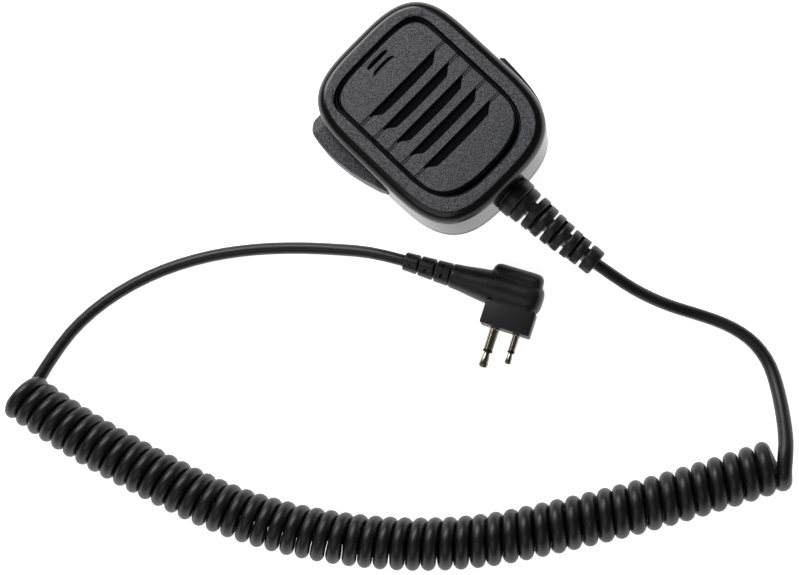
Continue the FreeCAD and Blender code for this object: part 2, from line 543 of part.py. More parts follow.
# ---- rear clip: stud on the cover, turning base, sprung plate on a cross pin ----
stud_neck = solid("Cylinder", "stud_neck", ("0", "Sizes.clip_y", "7.3"), Radius="3",
                  Height="Sizes.head_back_z - 7.3")
stud_flange = solid("Cylinder", "stud_flange", ("0", "Sizes.clip_y", "6.1"), Radius="Sizes.stud_radius",
                    Height="1.2")
stud_hole = solid("Cylinder", "stud_hole", ("0", "Sizes.clip_y", "5"), Radius="1.6", Height="6")
keep(cut("clip_stud_bored", join("clip_stud_blank", [stud_neck, stud_flange]), [stud_hole]), "clip_stud")
keep(join("clip_screw_one", [
    solid("Cylinder", "clip_screw_head", ("0", "Sizes.clip_y", "4.7"), Radius="3", Height="1.4"),
    solid("Cylinder", "clip_screw_shank", ("0", "Sizes.clip_y", "6.1"), Radius="1.5",
          Height="8.6")]), "clip_screw")
keep(cut("clip_nut_bored",
         solid("Prism", "clip_nut_blank", ("0", "Sizes.clip_y", "Sizes.head_back_z + Sizes.wall"),
               Circumradius="3.1", Height="2.2"),
         [solid("Cylinder", "clip_nut_hole", ("0", "Sizes.clip_y", "Sizes.head_back_z + Sizes.wall - 1"),
                Radius="1.5", Height="5")]), "clip_nut")


def clip_base():
    body = new_body("clip_base")
    feature(body, "Pad", rectangle(body, "XY_Plane", "Sizes.clip_base_width", "Sizes.clip_base_length",
                                   z="Sizes.clip_base_z", y="Sizes.clip_y + 2"), "Sizes.clip_base_thickness")
    round_edges(body, upright, "4")
    for side in (-1, 1):
        ear = rectangle(body, "XY_Plane", "Sizes.ear_thickness", "Sizes.ear_length", z="Sizes.pin_z - 1.7",
                        y="Sizes.pin_y - 1", x=f"{side} * (Sizes.clip_base_width / 2 - Sizes.ear_thickness / 2)")
        feature(body, "Pad", ear, "Sizes.clip_base_z + 1 - Sizes.pin_z + 1.7")
    feature(body, "Pocket", circle(body, "XY_Plane", "3 + Sizes.pin_gap", z="Sizes.clip_base_z - 1",
                                   y="Sizes.clip_y"), "6", reverse=True)
    feature(body, "Pocket", circle(body, "YZ_Plane", "Sizes.pin_radius", x="Sizes.pin_y", y="Sizes.pin_z",
                                   z="Sizes.clip_base_width / 2 + 1"), "Sizes.clip_base_width + 2")
    return keep(body, "clip_base")


clip_base()


def clip_plate():
    body = new_body("clip_plate")
    feature(body, "Pad", rectangle(body, "XY_Plane", "Sizes.clip_width", "Sizes.clip_length",
                                   y="Sizes.clip_plate_y"), "Sizes.clip_thickness")
    round_edges(body, upright, "6")
    ear_x = "(Sizes.clip_base_width / 2 + 0.3 + Sizes.ear_thickness / 2)"
    for side in (-1, 1):
        ear = rectangle(body, "XY_Plane", "Sizes.ear_thickness", "5", z="Sizes.clip_thickness - 0.5",
                        y="Sizes.pin_y", x=f"{side} * {ear_x}")
        feature(body, "Pad", ear, "Sizes.pin_z + 2.1 - Sizes.clip_thickness + 0.5")
    lip = rectangle(body, "XY_Plane", "14", "2", z="Sizes.clip_thickness - 0.5",
                    y="Sizes.clip_plate_y - Sizes.clip_length / 2 + 1")
    feature(body, "Pad", lip, "Sizes.clip_lip_height + 0.5")
    feature(body, "Pocket", circle(body, "YZ_Plane", "Sizes.pin_radius + Sizes.pin_gap", x="Sizes.pin_y",
                                   y="Sizes.pin_z", z="Sizes.clip_width / 2 + 1"), "Sizes.clip_width + 2")
    return keep(body, "clip_plate")


clip_plate()
keep(solid("Cylinder", "clip_cross_pin", ("-Sizes.clip_width / 2", "Sizes.pin_y", "Sizes.pin_z"), ALONG_X,
           Radius="Sizes.pin_radius", Height="Sizes.clip_width"), "clip_pin")


def feature_shape(label, shape, placement=None):
    """A sub-part whose shape is worked out here from the sheet's sizes."""
    made = doc.addObject("Part::Feature", label)
    made.Shape = shape
    made.Placement = placement or Placement()
    return keep(made, label)


def clip_spring():
    """Torsion spring: eight turns of round wire on the cross pin."""
    turns, wire, length = 8, 0.28, 8.0
    radius = size("pin_radius") + 0.3 + wire
    helix = Part.makeHelix(length / turns, length, radius)
    section = Part.Wire(Part.makeCircle(wire, Vector(radius, 0, 0), Vector(0, 1, 0)))
    coil = Part.Wire(helix).makePipeShell([section], True, True)
    at = Vector(size("axis_x") - length / 2, size("pin_y"), size("pin_z"))
    return feature_shape("clip_spring", coil, Placement(at, ALONG_X))


clip_spring()


# ---- moulded boot: collar, then seven slits that alternate by a quarter turn ----
BOOT_FACE = Vector(size("axis_x"), -size("head_length") / 2, size("cord_z"))
BOOT_END = Vector(4.0, -77.0, 16.6)


def cord_boot():
    out = Vector(0, -1, 0)
    neck_at = BOOT_FACE - out * size("wall")
    collar = Part.makeCylinder(size("collar_radius"), size("collar_length"), BOOT_FACE, out)
    neck = Part.makeCylinder(size("boot_neck"), size("wall") + 0.5, neck_at, out)
    flange = Part.makeCylinder(size("boot_neck") + 0.4, 1.0, neck_at - out, out)
    start = BOOT_FACE + out * (size("collar_length") - 0.5)
    along = (BOOT_END - start).normalize()
    length = (BOOT_END - start).Length
    taper = Part.makeCone(size("boot_start"), size("boot_end"), length, start, along)
    core = Part.makeCylinder(size("boot_core"), length, start, along)
    tilt = Placement(start, Rotation(Vector(1, 0, 0), along))
    slits = []
    for index in range(int(size("boot_slits"))):
        for side in (-1, 1):
            slit = Part.makeBox(size("slit_gap"), 20, 20)
            slit.translate(Vector(3.2 + index * size("boot_pitch"), -10, size("web") / 2))
            slit.rotate(Vector(), Vector(1, 0, 0), 90 * side if index % 2 == 0 else 90 - 90 * side)
            slit.Placement = tilt.multiply(slit.Placement)
            slits.append(slit)
    ribs = taper.cut(slits)
    return feature_shape("cord_boot", ribs.fuse([core, collar, neck, flange]).removeSplitter())


cord_boot()


# ---- cord: each free stretch is straight runs joined by arcs as large as the runs allow ----
def tube(label, points, radius):
    """A round tube along the points; prints its bend radii and checks its volume."""
    route = [Vector(*p) for p in points]
    edges = []
    radii = []
    last = route[0]
    for before, corner, after in zip(route, route[1:], route[2:]):
        come = (corner - before).normalize()
        go = (after - corner).normalize()
        half = come.getAngle(go) / 2
        reach = 0.45 * min((corner - before).Length, (after - corner).Length)
        bend = reach / math.tan(half)
        radii.append(round(bend, 1))
        start = corner - come * reach
        end = corner + go * reach
        middle_way = (go - come).normalize()
        middle = corner + middle_way * (bend / math.cos(half) - bend)
        edges.append(Part.LineSegment(last, start).toShape())
        edges.append(Part.Arc(start, middle, end).toShape())
        last = end
    edges.append(Part.LineSegment(last, route[-1]).toShape())
    path = Part.Wire(edges)
    first = (route[1] - route[0]).normalize()
    section = Part.Wire(Part.makeCircle(radius, route[0], first))
    swept = path.makePipeShell([section], True, True)
    expected = math.pi * radius ** 2 * path.Length
    print(f"{label}: length {path.Length:.1f}, radii {radii}, volume ratio {swept.Volume / expected:.4f}")
    return feature_shape(label, swept)


TAIL_Z = size("tail_radius") + 0.05
COIL_Z = size("coil_radius") + 0.05
TAIL_HEAD_ROUTE = [
    (4.0, -77.0, 16.6), (5.7, -86.0, 14.0), (8.6, -95.0, 9.0), (12.6, -103.5, 4.2), (17.6, -112.5, TAIL_Z),
    (21.8, -122.0, TAIL_Z), (23.6, -131.6, TAIL_Z), (21.8, -141.0, 2.7), (16.8, -149.2, 5.2),
    (10.6, -157.0, 9.6), (4.6, -163.4, 13.8), (-1.6, -168.6, 15.8),
]
COIL_ROUTE = [
    (-2.4, -167.3, COIL_Z), (-33.4, -151.3, COIL_Z), (-68.4, -129.8, COIL_Z), (-97.9, -109.8, COIL_Z),
    (-125.4, -80.3, COIL_Z), (-146.9, -45.8, COIL_Z), (-159.4, -9.3, COIL_Z), (-167.9, 20.7, COIL_Z),
    (-171.4, 39.7, COIL_Z),
]
TAIL_PLUG_ROUTE = [
    (-41.05, -24.15, 6.3), (-46.2, -14.2, 5.4), (-54.2, -3.6, 3.0), (-64.6, 8.6, TAIL_Z), (-77.0, 20.6, TAIL_Z),
    (-91.0, 31.2, TAIL_Z), (-107.0, 39.8, TAIL_Z), (-124.5, 45.4, TAIL_Z), (-142.0, 46.6, TAIL_Z),
    (-157.5, 43.4, TAIL_Z), (-170.0, 38.0, TAIL_Z + 0.6),
]
tube("cord_tail_head", TAIL_HEAD_ROUTE, size("tail_radius"))
tube("cord_coil", COIL_ROUTE, size("coil_radius"))
tube("cord_tail_plug", TAIL_PLUG_ROUTE, size("tail_radius"))

# ---- right-angle plug, lying on its side; its own frame has X along the cord and -Y along the pins ----
PLUG = Placement(Vector(*TAIL_PLUG_ROUTE[0]), Rotation(Vector(0, 0, 1), -63.4))
X_AXIS = Vector(1, 0, 0)
PIN_WAY = Vector(0, -1, 0)


def plug_relief():
    length = size("relief_length")
    cone = Part.makeCone(size("relief_start"), size("relief_end"), length, Vector(), X_AXIS)
    grooves = []
    for at in (5.4, 11.4, 16.8):
        ring = Part.makeCylinder(6, 1.2, Vector(at, 0, 0), X_AXIS)
        radius = size("relief_start") + (size("relief_end") - size("relief_start")) * at / length - 0.8
        grooves.append(ring.cut(Part.makeCylinder(radius, 1.2, Vector(at, 0, 0), X_AXIS)))
    return feature_shape("plug_relief", cone.cut(grooves), PLUG)


def plug_body():
    start = size("relief_length")
    taper = Part.makeCone(size("relief_end"), size("plug_body_end"), size("plug_body_length"),
                          Vector(start, 0, 0), X_AXIS)
    end = start + size("plug_body_length")
    thick = size("plug_thickness")
    head = Part.makeBox(size("plug_head_length"), size("plug_head_width"), thick,
                        Vector(end - 0.8, 9.0 - size("plug_head_width"), -thick / 2))
    head = head.makeFillet(3.4, [e for e in head.Edges if abs(e.CenterOfMass.z) > thick / 4 or
                                 abs(e.tangentAt(0).z) > 0.9])
    return feature_shape("plug_body", taper.fuse(head).removeSplitter(), PLUG)


def plug_block():
    thick = size("block_thickness")
    side = size("pin_root_side")
    block = Part.makeBox(size("block_length"), size("block_width"), thick,
                         Vector(32.8, -side, -thick / 2))
    block = block.makeFillet(0.8, [e for e in block.Edges if abs(e.tangentAt(0).y) > 0.9])
    body = next(p for p in parts if p.Label == "plug_body").Shape.copy()
    body.Placement = Placement()
    return feature_shape("plug_block", block.cut(body), PLUG)


def plug_pin(name, along, radius, length):
    """A turned contact: shouldered sleeve, plastic ring and tip, each its own piece."""
    root = Vector(along, -size("pin_root_side"), 0)

    def turned(start, height, low, high):
        at = root + PIN_WAY * start
        if abs(low - high) < EPS:
            return Part.makeCylinder(low, height, at, PIN_WAY)
        return Part.makeCone(low, high, height, at, PIN_WAY)

    sleeve_end = 0.56 * length
    ring = 0.9
    tip_start = sleeve_end + ring
    neck = 0.3 * (length - tip_start)
    bulb = 0.45 * (length - tip_start)
    nose = length - tip_start - neck - bulb
    sleeve = turned(0, 0.9, radius + 0.45, radius + 0.45).fuse(turned(0.9, sleeve_end - 0.9, radius, radius))
    feature_shape(f"{name}_sleeve", sleeve, PLUG)
    feature_shape(f"{name}_insulator", turned(sleeve_end, ring, radius, radius), PLUG)
    tip = turned(tip_start, neck, radius * 0.98, radius * 0.66).fuse([
        turned(tip_start + neck, bulb, radius * 0.66, radius * 0.96),
        turned(tip_start + neck + bulb, nose, radius * 0.96, radius * 0.3)])
    feature_shape(f"{name}_tip", tip, PLUG)


plug_relief()
plug_body()
plug_block()
plug_pin("speaker_pin", size("speaker_pin_along"), size("speaker_pin_radius"), size("speaker_pin_length"))
plug_pin("mic_pin", size("mic_pin_along"), size("mic_pin_radius"), size("mic_pin_length"))

# ---- check every object, then write one file for each sub-part ----
doc.recompute()
failed = [o.Label for o in doc.Objects if {"Invalid", "Error"} & set(o.State)]
failed += [p.Label for p in parts if p.Shape.isNull() or not p.Shape.isValid() or not p.Shape.Solids]
if failed:
    raise RuntimeError(f"failed: {failed}")
os.makedirs("parts", exist_ok=True)
for part in parts:
    part.Shape.exportStep(f"parts/{part.Label}.step")
print(len(parts), "sub-parts")
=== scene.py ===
"""Remote speaker microphone: head with grille and talk button, rear clip, curly cord, two-pin plug.

Metres, +Z up. The head lies on its clip with its face up, its top towards +Y.
"""
import math

import bmesh
import bpy
from mathutils import Matrix, Vector


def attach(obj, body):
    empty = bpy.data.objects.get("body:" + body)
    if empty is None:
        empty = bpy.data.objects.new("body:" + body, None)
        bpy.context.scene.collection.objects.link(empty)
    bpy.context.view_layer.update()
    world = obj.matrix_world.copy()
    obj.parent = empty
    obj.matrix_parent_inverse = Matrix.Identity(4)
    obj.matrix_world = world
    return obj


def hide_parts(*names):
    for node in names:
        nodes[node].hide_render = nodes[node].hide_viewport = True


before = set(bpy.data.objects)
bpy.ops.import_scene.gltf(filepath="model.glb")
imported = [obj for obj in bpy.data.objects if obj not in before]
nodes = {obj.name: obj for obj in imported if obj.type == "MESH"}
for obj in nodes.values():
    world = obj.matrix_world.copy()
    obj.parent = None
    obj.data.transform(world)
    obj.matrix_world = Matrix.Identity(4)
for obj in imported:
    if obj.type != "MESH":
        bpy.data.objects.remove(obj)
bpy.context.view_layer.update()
mm = 0.001
scene = bpy.context.scene
scene.view_settings.view_transform = "Standard"


# ---- Studio ----
# A backlit white table in a room with white walls and a dark ceiling, with two softboxes. Black plastic
# mirrors the ceiling where it is polished, the table and walls where it stands upright.
def linear(code):
    """Linear RGBA of an sRGB hex colour."""
    channels = [int(code[start:start + 2], 16) / 255 for start in (1, 3, 5)]
    return [c / 12.92 if c <= 0.04045 else ((c + 0.055) / 1.055) ** 2.4 for c in channels] + [1.0]


def add_node(tree, kind, settings=None, values=None, links=None):
    """A new node with its properties, its constant inputs and the sockets that feed it."""
    node = tree.nodes.new(kind)
    for name, value in (settings or {}).items():
        setattr(node, name, value)
    for socket, value in (values or {}).items():
        node.inputs[socket].default_value = value
    for socket, source in (links or {}).items():
        tree.links.new(source, node.inputs[socket])
    return node


def new_material(name):
    """An empty node material: the material, its tree, its output node and its object coordinates."""
    material = bpy.data.materials.new(name)
    material.use_nodes = True
    tree = material.node_tree
    tree.nodes.clear()
    output = add_node(tree, "ShaderNodeOutputMaterial")
    place = add_node(tree, "ShaderNodeTexCoord").outputs["Object"]
    return material, tree, output, place


def backlit_table():
    """Opal acrylic lit from behind: an even white with a very faint mottling."""
    material, tree, output, place = new_material("opal_acrylic")
    mottle = add_node(tree, "ShaderNodeTexNoise", values={"Scale": 9.0}, links={"Vector": place})
    tone = add_node(tree, "ShaderNodeMix", {"data_type": "RGBA"},
                    {6: linear("#f7f7f7"), 7: linear("#fbfbfb")}, {0: mottle.outputs["Fac"]})
    acrylic = add_node(tree, "ShaderNodeBsdfPrincipled",
                       values={"Roughness": 0.9, "Specular IOR Level": 0.1,
                               "Emission Color": linear("#ffffff"), "Emission Strength": 0.92},
                       links={"Base Color": tone.outputs[2]})
    tree.links.new(acrylic.outputs[0], output.inputs["Surface"])
    return material


def link_object(name, data):
    """A new object of the scene."""
    made = bpy.data.objects.new(name, data)
    scene.collection.objects.link(made)
    return made


table_mesh = bpy.data.meshes.new("table")
table_half = 1.6
table_mesh.from_pydata([(-table_half, -table_half, 0), (table_half, -table_half, 0),
                        (table_half, table_half, 0), (-table_half, table_half, 0)], [], [(0, 1, 2, 3)])
table_top = link_object("table", table_mesh)
table_mesh.materials.append(backlit_table())

# The white of the walls fades into the dark ceiling between these two heights on a unit sphere.
wall_top = 0.11
ceiling_from = 0.2
ceiling_glow = 0.07
world = bpy.data.worlds.new("room")
world.use_nodes = True
scene.world = world
room = world.node_tree
room.nodes.clear()
room_way = add_node(room, "ShaderNodeTexCoord")
rise = add_node(room, "ShaderNodeSeparateXYZ", links={0: room_way.outputs["Generated"]})
glow = add_node(room, "ShaderNodeMapRange",
                values={"From Min": wall_top, "From Max": ceiling_from, "To Min": 1.0,
                        "To Max": ceiling_glow},
                links={"Value": rise.outputs["Z"]})
walls = add_node(room, "ShaderNodeBackground", values={"Color": linear("#ffffff")},
                 links={"Strength": glow.outputs[0]})
add_node(room, "ShaderNodeOutputWorld", links={"Surface": walls.outputs[0]})


def softbox(name, place, target, width, height, power):
    """A rectangular light that faces its target."""
    data = bpy.data.lights.new(name, "AREA")
    data.shape = "RECTANGLE"
    data.size = width
    data.size_y = height
    data.energy = power
    lamp = link_object(name, data)
    lamp.location = place
    lamp.rotation_euler = (Vector(target) - Vector(place)).to_track_quat("-Z", "Y").to_euler()


middle_of_work = (-0.07, -0.06, 0.02)
softbox("key_softbox", (0.1, 0.5, 0.52), (0.0, 0.04, 0.02), 0.6, 0.34, 4.2)
softbox("fill_softbox", (-0.7, -0.2, 0.9), middle_of_work, 0.8, 0.8, 1.5)

lens_place = Vector((-69.35, -150.75, 635.5)) * mm
lens_way = Vector((0.0315, 0.1889, -0.9815)).normalized()
lens_right = lens_way.cross(Vector((0.7134, 0.6835, 0.1545))).normalized()
lens_up = lens_right.cross(lens_way)
camera_data = bpy.data.cameras.new("camera")
camera_data.sensor_width = 36.0
camera_data.lens = 81.1
camera = link_object("camera", camera_data)
camera.matrix_world = Matrix((
    (lens_right.x, lens_up.x, -lens_way.x, lens_place.x),
    (lens_right.y, lens_up.y, -lens_way.y, lens_place.y),
    (lens_right.z, lens_up.z, -lens_way.z, lens_place.z), (0, 0, 0, 1)))
scene.camera = camera


# ---- Front housing ----
# The head's deep front shell, injection moulded in black ABS. Its rim runs out into a broad smooth
# roll, its bezel is spark eroded in the mould, and a stepped gutter round the grille drains rain.
axis_x = 1.15
face_z = 37.0
parting_z = 14.0
wall = 2.6
around = 288
finer = 12
head_shape = dict(half=29.6, top=37.8, bottom=-37.4, bend_top=8.75, bend_bottom=-5.5, square_top=3.4,
                  square_bottom=3.3)
gutter_shape = dict(half=22.2, top=30.7, bottom=-30.45, bend_top=15.75, bend_bottom=-7.25, square_top=4.4,
                    square_bottom=3.1)


def outline(half, top, bottom, bend_top, bend_bottom, square_top, square_bottom, count=around):
    """Evenly spaced (point, outward normal) pairs of a crowned, round-cornered outline.

    Its sides are straight between the two bends; a larger square number gives tighter corners.
    """
    fine = []
    for step in range(finer * count):
        angle = 2 * math.pi * step / (finer * count)
        upper = math.sin(angle) >= 0
        bend, end, square = (bend_top, top, square_top) if upper else (bend_bottom, bottom, square_bottom)
        x = half * math.copysign(abs(math.cos(angle)) ** (2 / square), math.cos(angle))
        fine.append(Vector((axis_x + x, bend + (end - bend) * abs(math.sin(angle)) ** (2 / square))))
    gone = [0.0]
    for start, end in zip(fine, fine[1:] + fine[:1]):
        gone.append(gone[-1] + (end - start).length)
    even = []
    at = 0
    for step in range(count):
        want = gone[-1] * step / count
        while gone[at + 1] < want:
            at += 1
        start, end = fine[at], fine[(at + 1) % len(fine)]
        even.append(start.lerp(end, (want - gone[at]) / (gone[at + 1] - gone[at])))
    pairs = []
    for index, point in enumerate(even):
        way = even[(index + 1) % count] - even[index - 1]
        pairs.append((point, Vector((way.y, -way.x)).normalized()))
    return pairs


def ring(shape, inset, z):
    """One level loop of an outline, drawn in by a distance."""
    return [(*(point - normal * inset), z) for point, normal in shape]


def new_piece(name, build, smooth_angle=35.0):
    """An object in metres from a bmesh in millimetres; faces meeting sharper than the angle stay crisp."""
    bmesh.ops.remove_doubles(build, verts=build.verts, dist=0.002)
    bmesh.ops.recalc_face_normals(build, faces=build.faces)
    bmesh.ops.scale(build, vec=(mm, mm, mm), verts=build.verts)
    mesh = bpy.data.meshes.new(name)
    build.to_mesh(mesh)
    build.free()
    mesh.shade_smooth()
    mesh.set_sharp_from_angle(angle=math.radians(smooth_angle))
    return link_object(name, mesh)


def skin(build, loops, closed=False):
    """Faces between loops of equal count; an open skin is capped at both ends."""
    rings = [[build.verts.new(point) for point in loop] for loop in loops]
    following = rings[1:] + rings[:1] if closed else rings[1:]
    for low, high in zip(rings, following):
        for index in range(len(low)):
            build.faces.new((low[index - 1], low[index], high[index], high[index - 1]))
    if not closed:
        build.faces.new(rings[0])
        build.faces.new(rings[-1])


def bake(piece, smooth_angle=35.0):
    """Turns a piece's modifiers into plain mesh."""
    bpy.context.view_layer.update()
    made = bpy.data.meshes.new_from_object(piece.evaluated_get(bpy.context.evaluated_depsgraph_get()))
    piece.modifiers.clear()
    piece.data = made
    made.shade_smooth()
    made.set_sharp_from_angle(angle=math.radians(smooth_angle))


def carve(piece, tool, operation="DIFFERENCE", tangled=False):
    """Cuts a tool out of a piece, or joins it on, and throws the tool away. Tangled: parts of it overlap."""
    change = piece.modifiers.new("carve", "BOOLEAN")
    change.operation = operation
    change.solver = "EXACT"
    change.object = tool
    change.use_self = tangled
    bake(piece)
    bpy.data.objects.remove(tool)


def rounded_block(name, low, high, round_by, steps=3):
    """A box between two corners, in millimetres, with all its edges rounded."""
    build = bmesh.new()
    bmesh.ops.create_cube(build, size=1.0)
    low, high = Vector(low), Vector(high)
    for vert in build.verts:
        vert.co = low + Vector((vert.co[axis] + 0.5) * (high - low)[axis] for axis in range(3))
    bmesh.ops.bevel(build, geom=build.edges, offset=round_by, segments=steps, profile=0.5, affect="EDGES")
    return new_piece(name, build, 50.0)


def turned(name, profile, place=(0, 0, 0), way=(0, 0, 1), sides=48):
    """A lathe piece: (distance along, radius) pairs about an axis through a place, in millimetres."""
    turn = Vector((0, 0, 1)).rotation_difference(Vector(way))
    loops = []
    for along, radius in profile:
        loops.append([Vector(place) + turn @ Vector((radius * math.cos(2 * math.pi * step / sides),
                                                     radius * math.sin(2 * math.pi * step / sides), along))
                      for step in range(sides)])
    build = bmesh.new()
    skin(build, loops)
    return new_piece(name, build)


head_outline = outline(**head_shape)
gutter_outline = outline(**gutter_shape)
roll_in = 4.3
roll_down = 3.9
roll_steps = 10
shell_loops = [ring(head_outline, wall, parting_z), ring(head_outline, 0.35, parting_z),
               ring(head_outline, 0.1, parting_z + 0.1), ring(head_outline, 0.0, parting_z + 0.35),
               ring(head_outline, 0.0, parting_z + 1.0), ring(head_outline, 0.0, face_z - roll_down - 1.0)]
for step in range(roll_steps + 1):
    angle = math.pi / 2 * step / roll_steps
    shell_loops.append(ring(head_outline, roll_in * (1 - math.cos(angle)),
                            face_z - roll_down * (1 - math.sin(angle))))
shell_loops.append(ring(head_outline, roll_in + 0.4, face_z))
for inset, z in ((-0.5, face_z), (-0.2, face_z), (-0.05, face_z - 0.05), (0.05, face_z - 0.18),
                 (0.12, face_z - 0.6), (0.2, face_z - 1.2), (0.35, face_z - 1.5), (0.85, face_z - 1.55),
                 (0.95, face_z - 1.7), (0.95, face_z - 2.7)):
    shell_loops.append(ring(gutter_outline, inset, z))
shell_loops.append(ring(head_outline, wall + 1.0, face_z - 2.7))
shell_loops.append(ring(head_outline, wall, face_z - 3.7))
shell = bmesh.new()
skin(shell, shell_loops, closed=True)
front_housing = new_piece("front_shell", shell)
carve(front_housing, turned("boot_mouth", [(-4.0, 6.05), (4.0, 6.05)], (axis_x, -36.0, 21.0), (0, -1, 0)))


def eroded_abs(name, painted_glint_tones, polished, texture_from, texture_to, grain=0.4):
    """Injection-moulded ABS, spark eroded above one height and left polished below it.

    Erosion leaves close round pits. They are drawn about 0.4 mm apart, coarser than they are, so that
    they show. Their sparkle is painted into the base colour: the pit noise mixes the black up to grey,
    painted glints that lift the black to dark grey. Polished ABS stays black and glossy.
    """
    material, tree, output, place = new_material(name)
    height = add_node(tree, "ShaderNodeSeparateXYZ", links={0: place})
    mask = add_node(tree, "ShaderNodeMapRange", {"interpolation_type": "SMOOTHSTEP"},
                    {"From Min": texture_from * mm, "From Max": texture_to * mm},
                    {"Value": height.outputs["Z"]})
    pits_and_painted_glints = add_node(tree, "ShaderNodeTexNoise",
                    values={"Scale": 1 / (grain * mm), "Detail": 3.0, "Roughness": 0.6},
                    links={"Vector": place})
    tone = add_node(tree, "ShaderNodeMapRange", values={"From Min": 0.38, "From Max": 0.7},
                    links={"Value": pits_and_painted_glints.outputs["Fac"]})
    # Painted glints: the pit noise mixes the base colour from near black up to a pale grey, standing in for
    # light sparkling off the eroded pits.
    painted_glint_speckle = add_node(tree, "ShaderNodeMix", {"data_type": "RGBA"},
                        {6: linear(painted_glint_tones[0]), 7: linear(painted_glint_tones[1])}, {0: tone.outputs[0]})
    colour = add_node(tree, "ShaderNodeMix", {"data_type": "RGBA"}, {6: linear(polished)},
                      {0: mask.outputs[0], 7: painted_glint_speckle.outputs[2]})
    rough = add_node(tree, "ShaderNodeMapRange", values={"To Min": 0.22, "To Max": 0.42},
                     links={"Value": mask.outputs[0]})
    depth = add_node(tree, "ShaderNodeMath", {"operation": "MULTIPLY"},
                     links={0: pits_and_painted_glints.outputs["Fac"], 1: mask.outputs[0]})
    relief = add_node(tree, "ShaderNodeBump", values={"Strength": 1.0, "Distance": 0.45 * mm},
                      links={"Height": depth.outputs[0]})
    plastic = add_node(tree, "ShaderNodeBsdfPrincipled", values={"IOR": 1.53},
                       links={"Base Color": colour.outputs[2], "Roughness": rough.outputs[0],
                              "Normal": relief.outputs[0]})
    tree.links.new(plastic.outputs[0], output.inputs["Surface"])
    return material


def finish(piece, material, body="head", stands_for=()):
    """Gives a piece its material; a new piece also gets its CAD body and the nodes it stands for."""
    piece.data.materials.clear()
    piece.data.materials.append(material)
    if piece.name not in nodes:
        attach(piece, body)
        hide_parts(*stands_for)


# The bezel's pale grey speckle is painted glints.
shell_abs = eroded_abs("spark_eroded_abs", ("#141416", "#828286"), "#080809", face_z - 0.12, face_z - 0.02)


# ---- Talk button ----
# A long rocker bar moulded in silicone rubber over a hard core, proud of the left side and thickest
# near its upper third. It stands in a shallow recess of the housing and presses a switch inside.
button_z = 22.5
button_half_height = 5.7
button_travel = 1.3
button_steps = 44
button_top_y = 30.4
button_bottom_y = -6.0


def half_width(shape, y):
    """How far a shape's side lies from its axis, at one place along it."""
    bend, end, square = ((shape["bend_top"], shape["top"], shape["square_top"]) if y > 0
                         else (shape["bend_bottom"], shape["bottom"], shape["square_bottom"]))
    past = max(0.0, (y - bend) / (end - bend))
    return shape["half"] * (1 - past ** square) ** (1 / square)


def button_reach(share):
    """How far the button's face lies from the axis, from its top end to its bottom nub."""
    knots = ((0.0, 30.2), (0.03, 31.9), (0.08, 33.3), (0.14, 33.9), (0.3, 34.6), (0.43, 34.7), (0.6, 34.1),
             (0.76, 32.9), (0.87, 31.8), (0.94, 31.1), (1.0, 30.1))
    for (start, low), (end, high) in zip(knots, knots[1:]):
        if share <= end:
            return low + (high - low) * (share - start) / (end - start)
    return knots[-1][1]


def bulged_section(inner, outer, half, bend, corners):
    """A section that stands out of the wall, (out, up) pairs, its two outer corners rounded."""
    section = [(inner, -half)]
    for step in range(corners + 1):
        angle = math.pi / 2 * step / corners
        section.append((outer - bend + bend * math.sin(angle), -half + bend - bend * math.cos(angle)))
    for step in range(corners + 1):
        angle = math.pi / 2 * step / corners
        section.append((outer - bend + bend * math.cos(angle), half - bend + bend * math.sin(angle)))
    return section + [(inner, half)]


def button_loops(inner_depth, grow):
    """Rounded cross sections from the top end down, each from the head's wall out to the face."""
    loops = []
    for step in range(button_steps + 1):
        share = step / button_steps
        y = button_top_y + grow + (button_bottom_y - button_top_y - 2 * grow) * share
        near = share - 0.5 / button_steps, share, share + 0.5 / button_steps
        outer = sum(button_reach(min(max(s, 0.0), 1.0)) for s in near) / 3 + grow
        inner = half_width(head_shape, y) - inner_depth
        half = button_half_height + grow
        half *= min(1.0, 0.55 + 4.0 * min(share, 1 - share))
        bend = min(1.5, (outer - inner) * 0.6)
        loops.append([(axis_x - x, y, button_z + z)
                      for x, z in bulged_section(inner, outer, half, bend, 6)])
    return loops


button_build = bmesh.new()
skin(button_build, button_loops(0.0, 0.0))
talk_button = new_piece("talk_bar", button_build)
recess_build = bmesh.new()
skin(recess_build, button_loops(button_travel + 0.05, 0.25))
carve(front_housing, new_piece("recess", recess_build))


def grained_rubber(name, light, dark, grain, roughness):
    """Moulded silicone rubber: a dull black with a fine eroded grain and a soft, wide sheen; the grain's pits
    lift the base colour towards the paler grey, painted glints.
    """
    material, tree, output, place = new_material(name)
    pits_and_painted_glints = add_node(tree, "ShaderNodeTexNoise", values={"Scale": 1 / (grain * mm), "Detail": 3.0},
                    links={"Vector": place})
    tone = add_node(tree, "ShaderNodeMapRange", values={"From Min": 0.35, "From Max": 0.68},
                    links={"Value": pits_and_painted_glints.outputs["Fac"]})
    # Painted glints: the pit noise mixes the base colour from the dark up to the pale grey.
    colour = add_node(tree, "ShaderNodeMix", {"data_type": "RGBA"}, {6: linear(dark), 7: linear(light)},
                      {0: tone.outputs[0]})
    relief = add_node(tree, "ShaderNodeBump", values={"Strength": 0.4, "Distance": 0.1 * mm},
                      links={"Height": pits_and_painted_glints.outputs["Fac"]})
    rubber = add_node(tree, "ShaderNodeBsdfPrincipled", values={"IOR": 1.45, "Roughness": roughness},
                      links={"Base Color": colour.outputs[2], "Normal": relief.outputs[0]})
    tree.links.new(rubber.outputs[0], output.inputs["Surface"])
    return material


# The button's pale grey speckle, #6a6a6e, is painted glints on its grain.
finish(talk_button, grained_rubber("silicone_rubber", "#6a6a6e", "#171718", 0.5, 0.5), "talk_key",
       ["talk_button"])


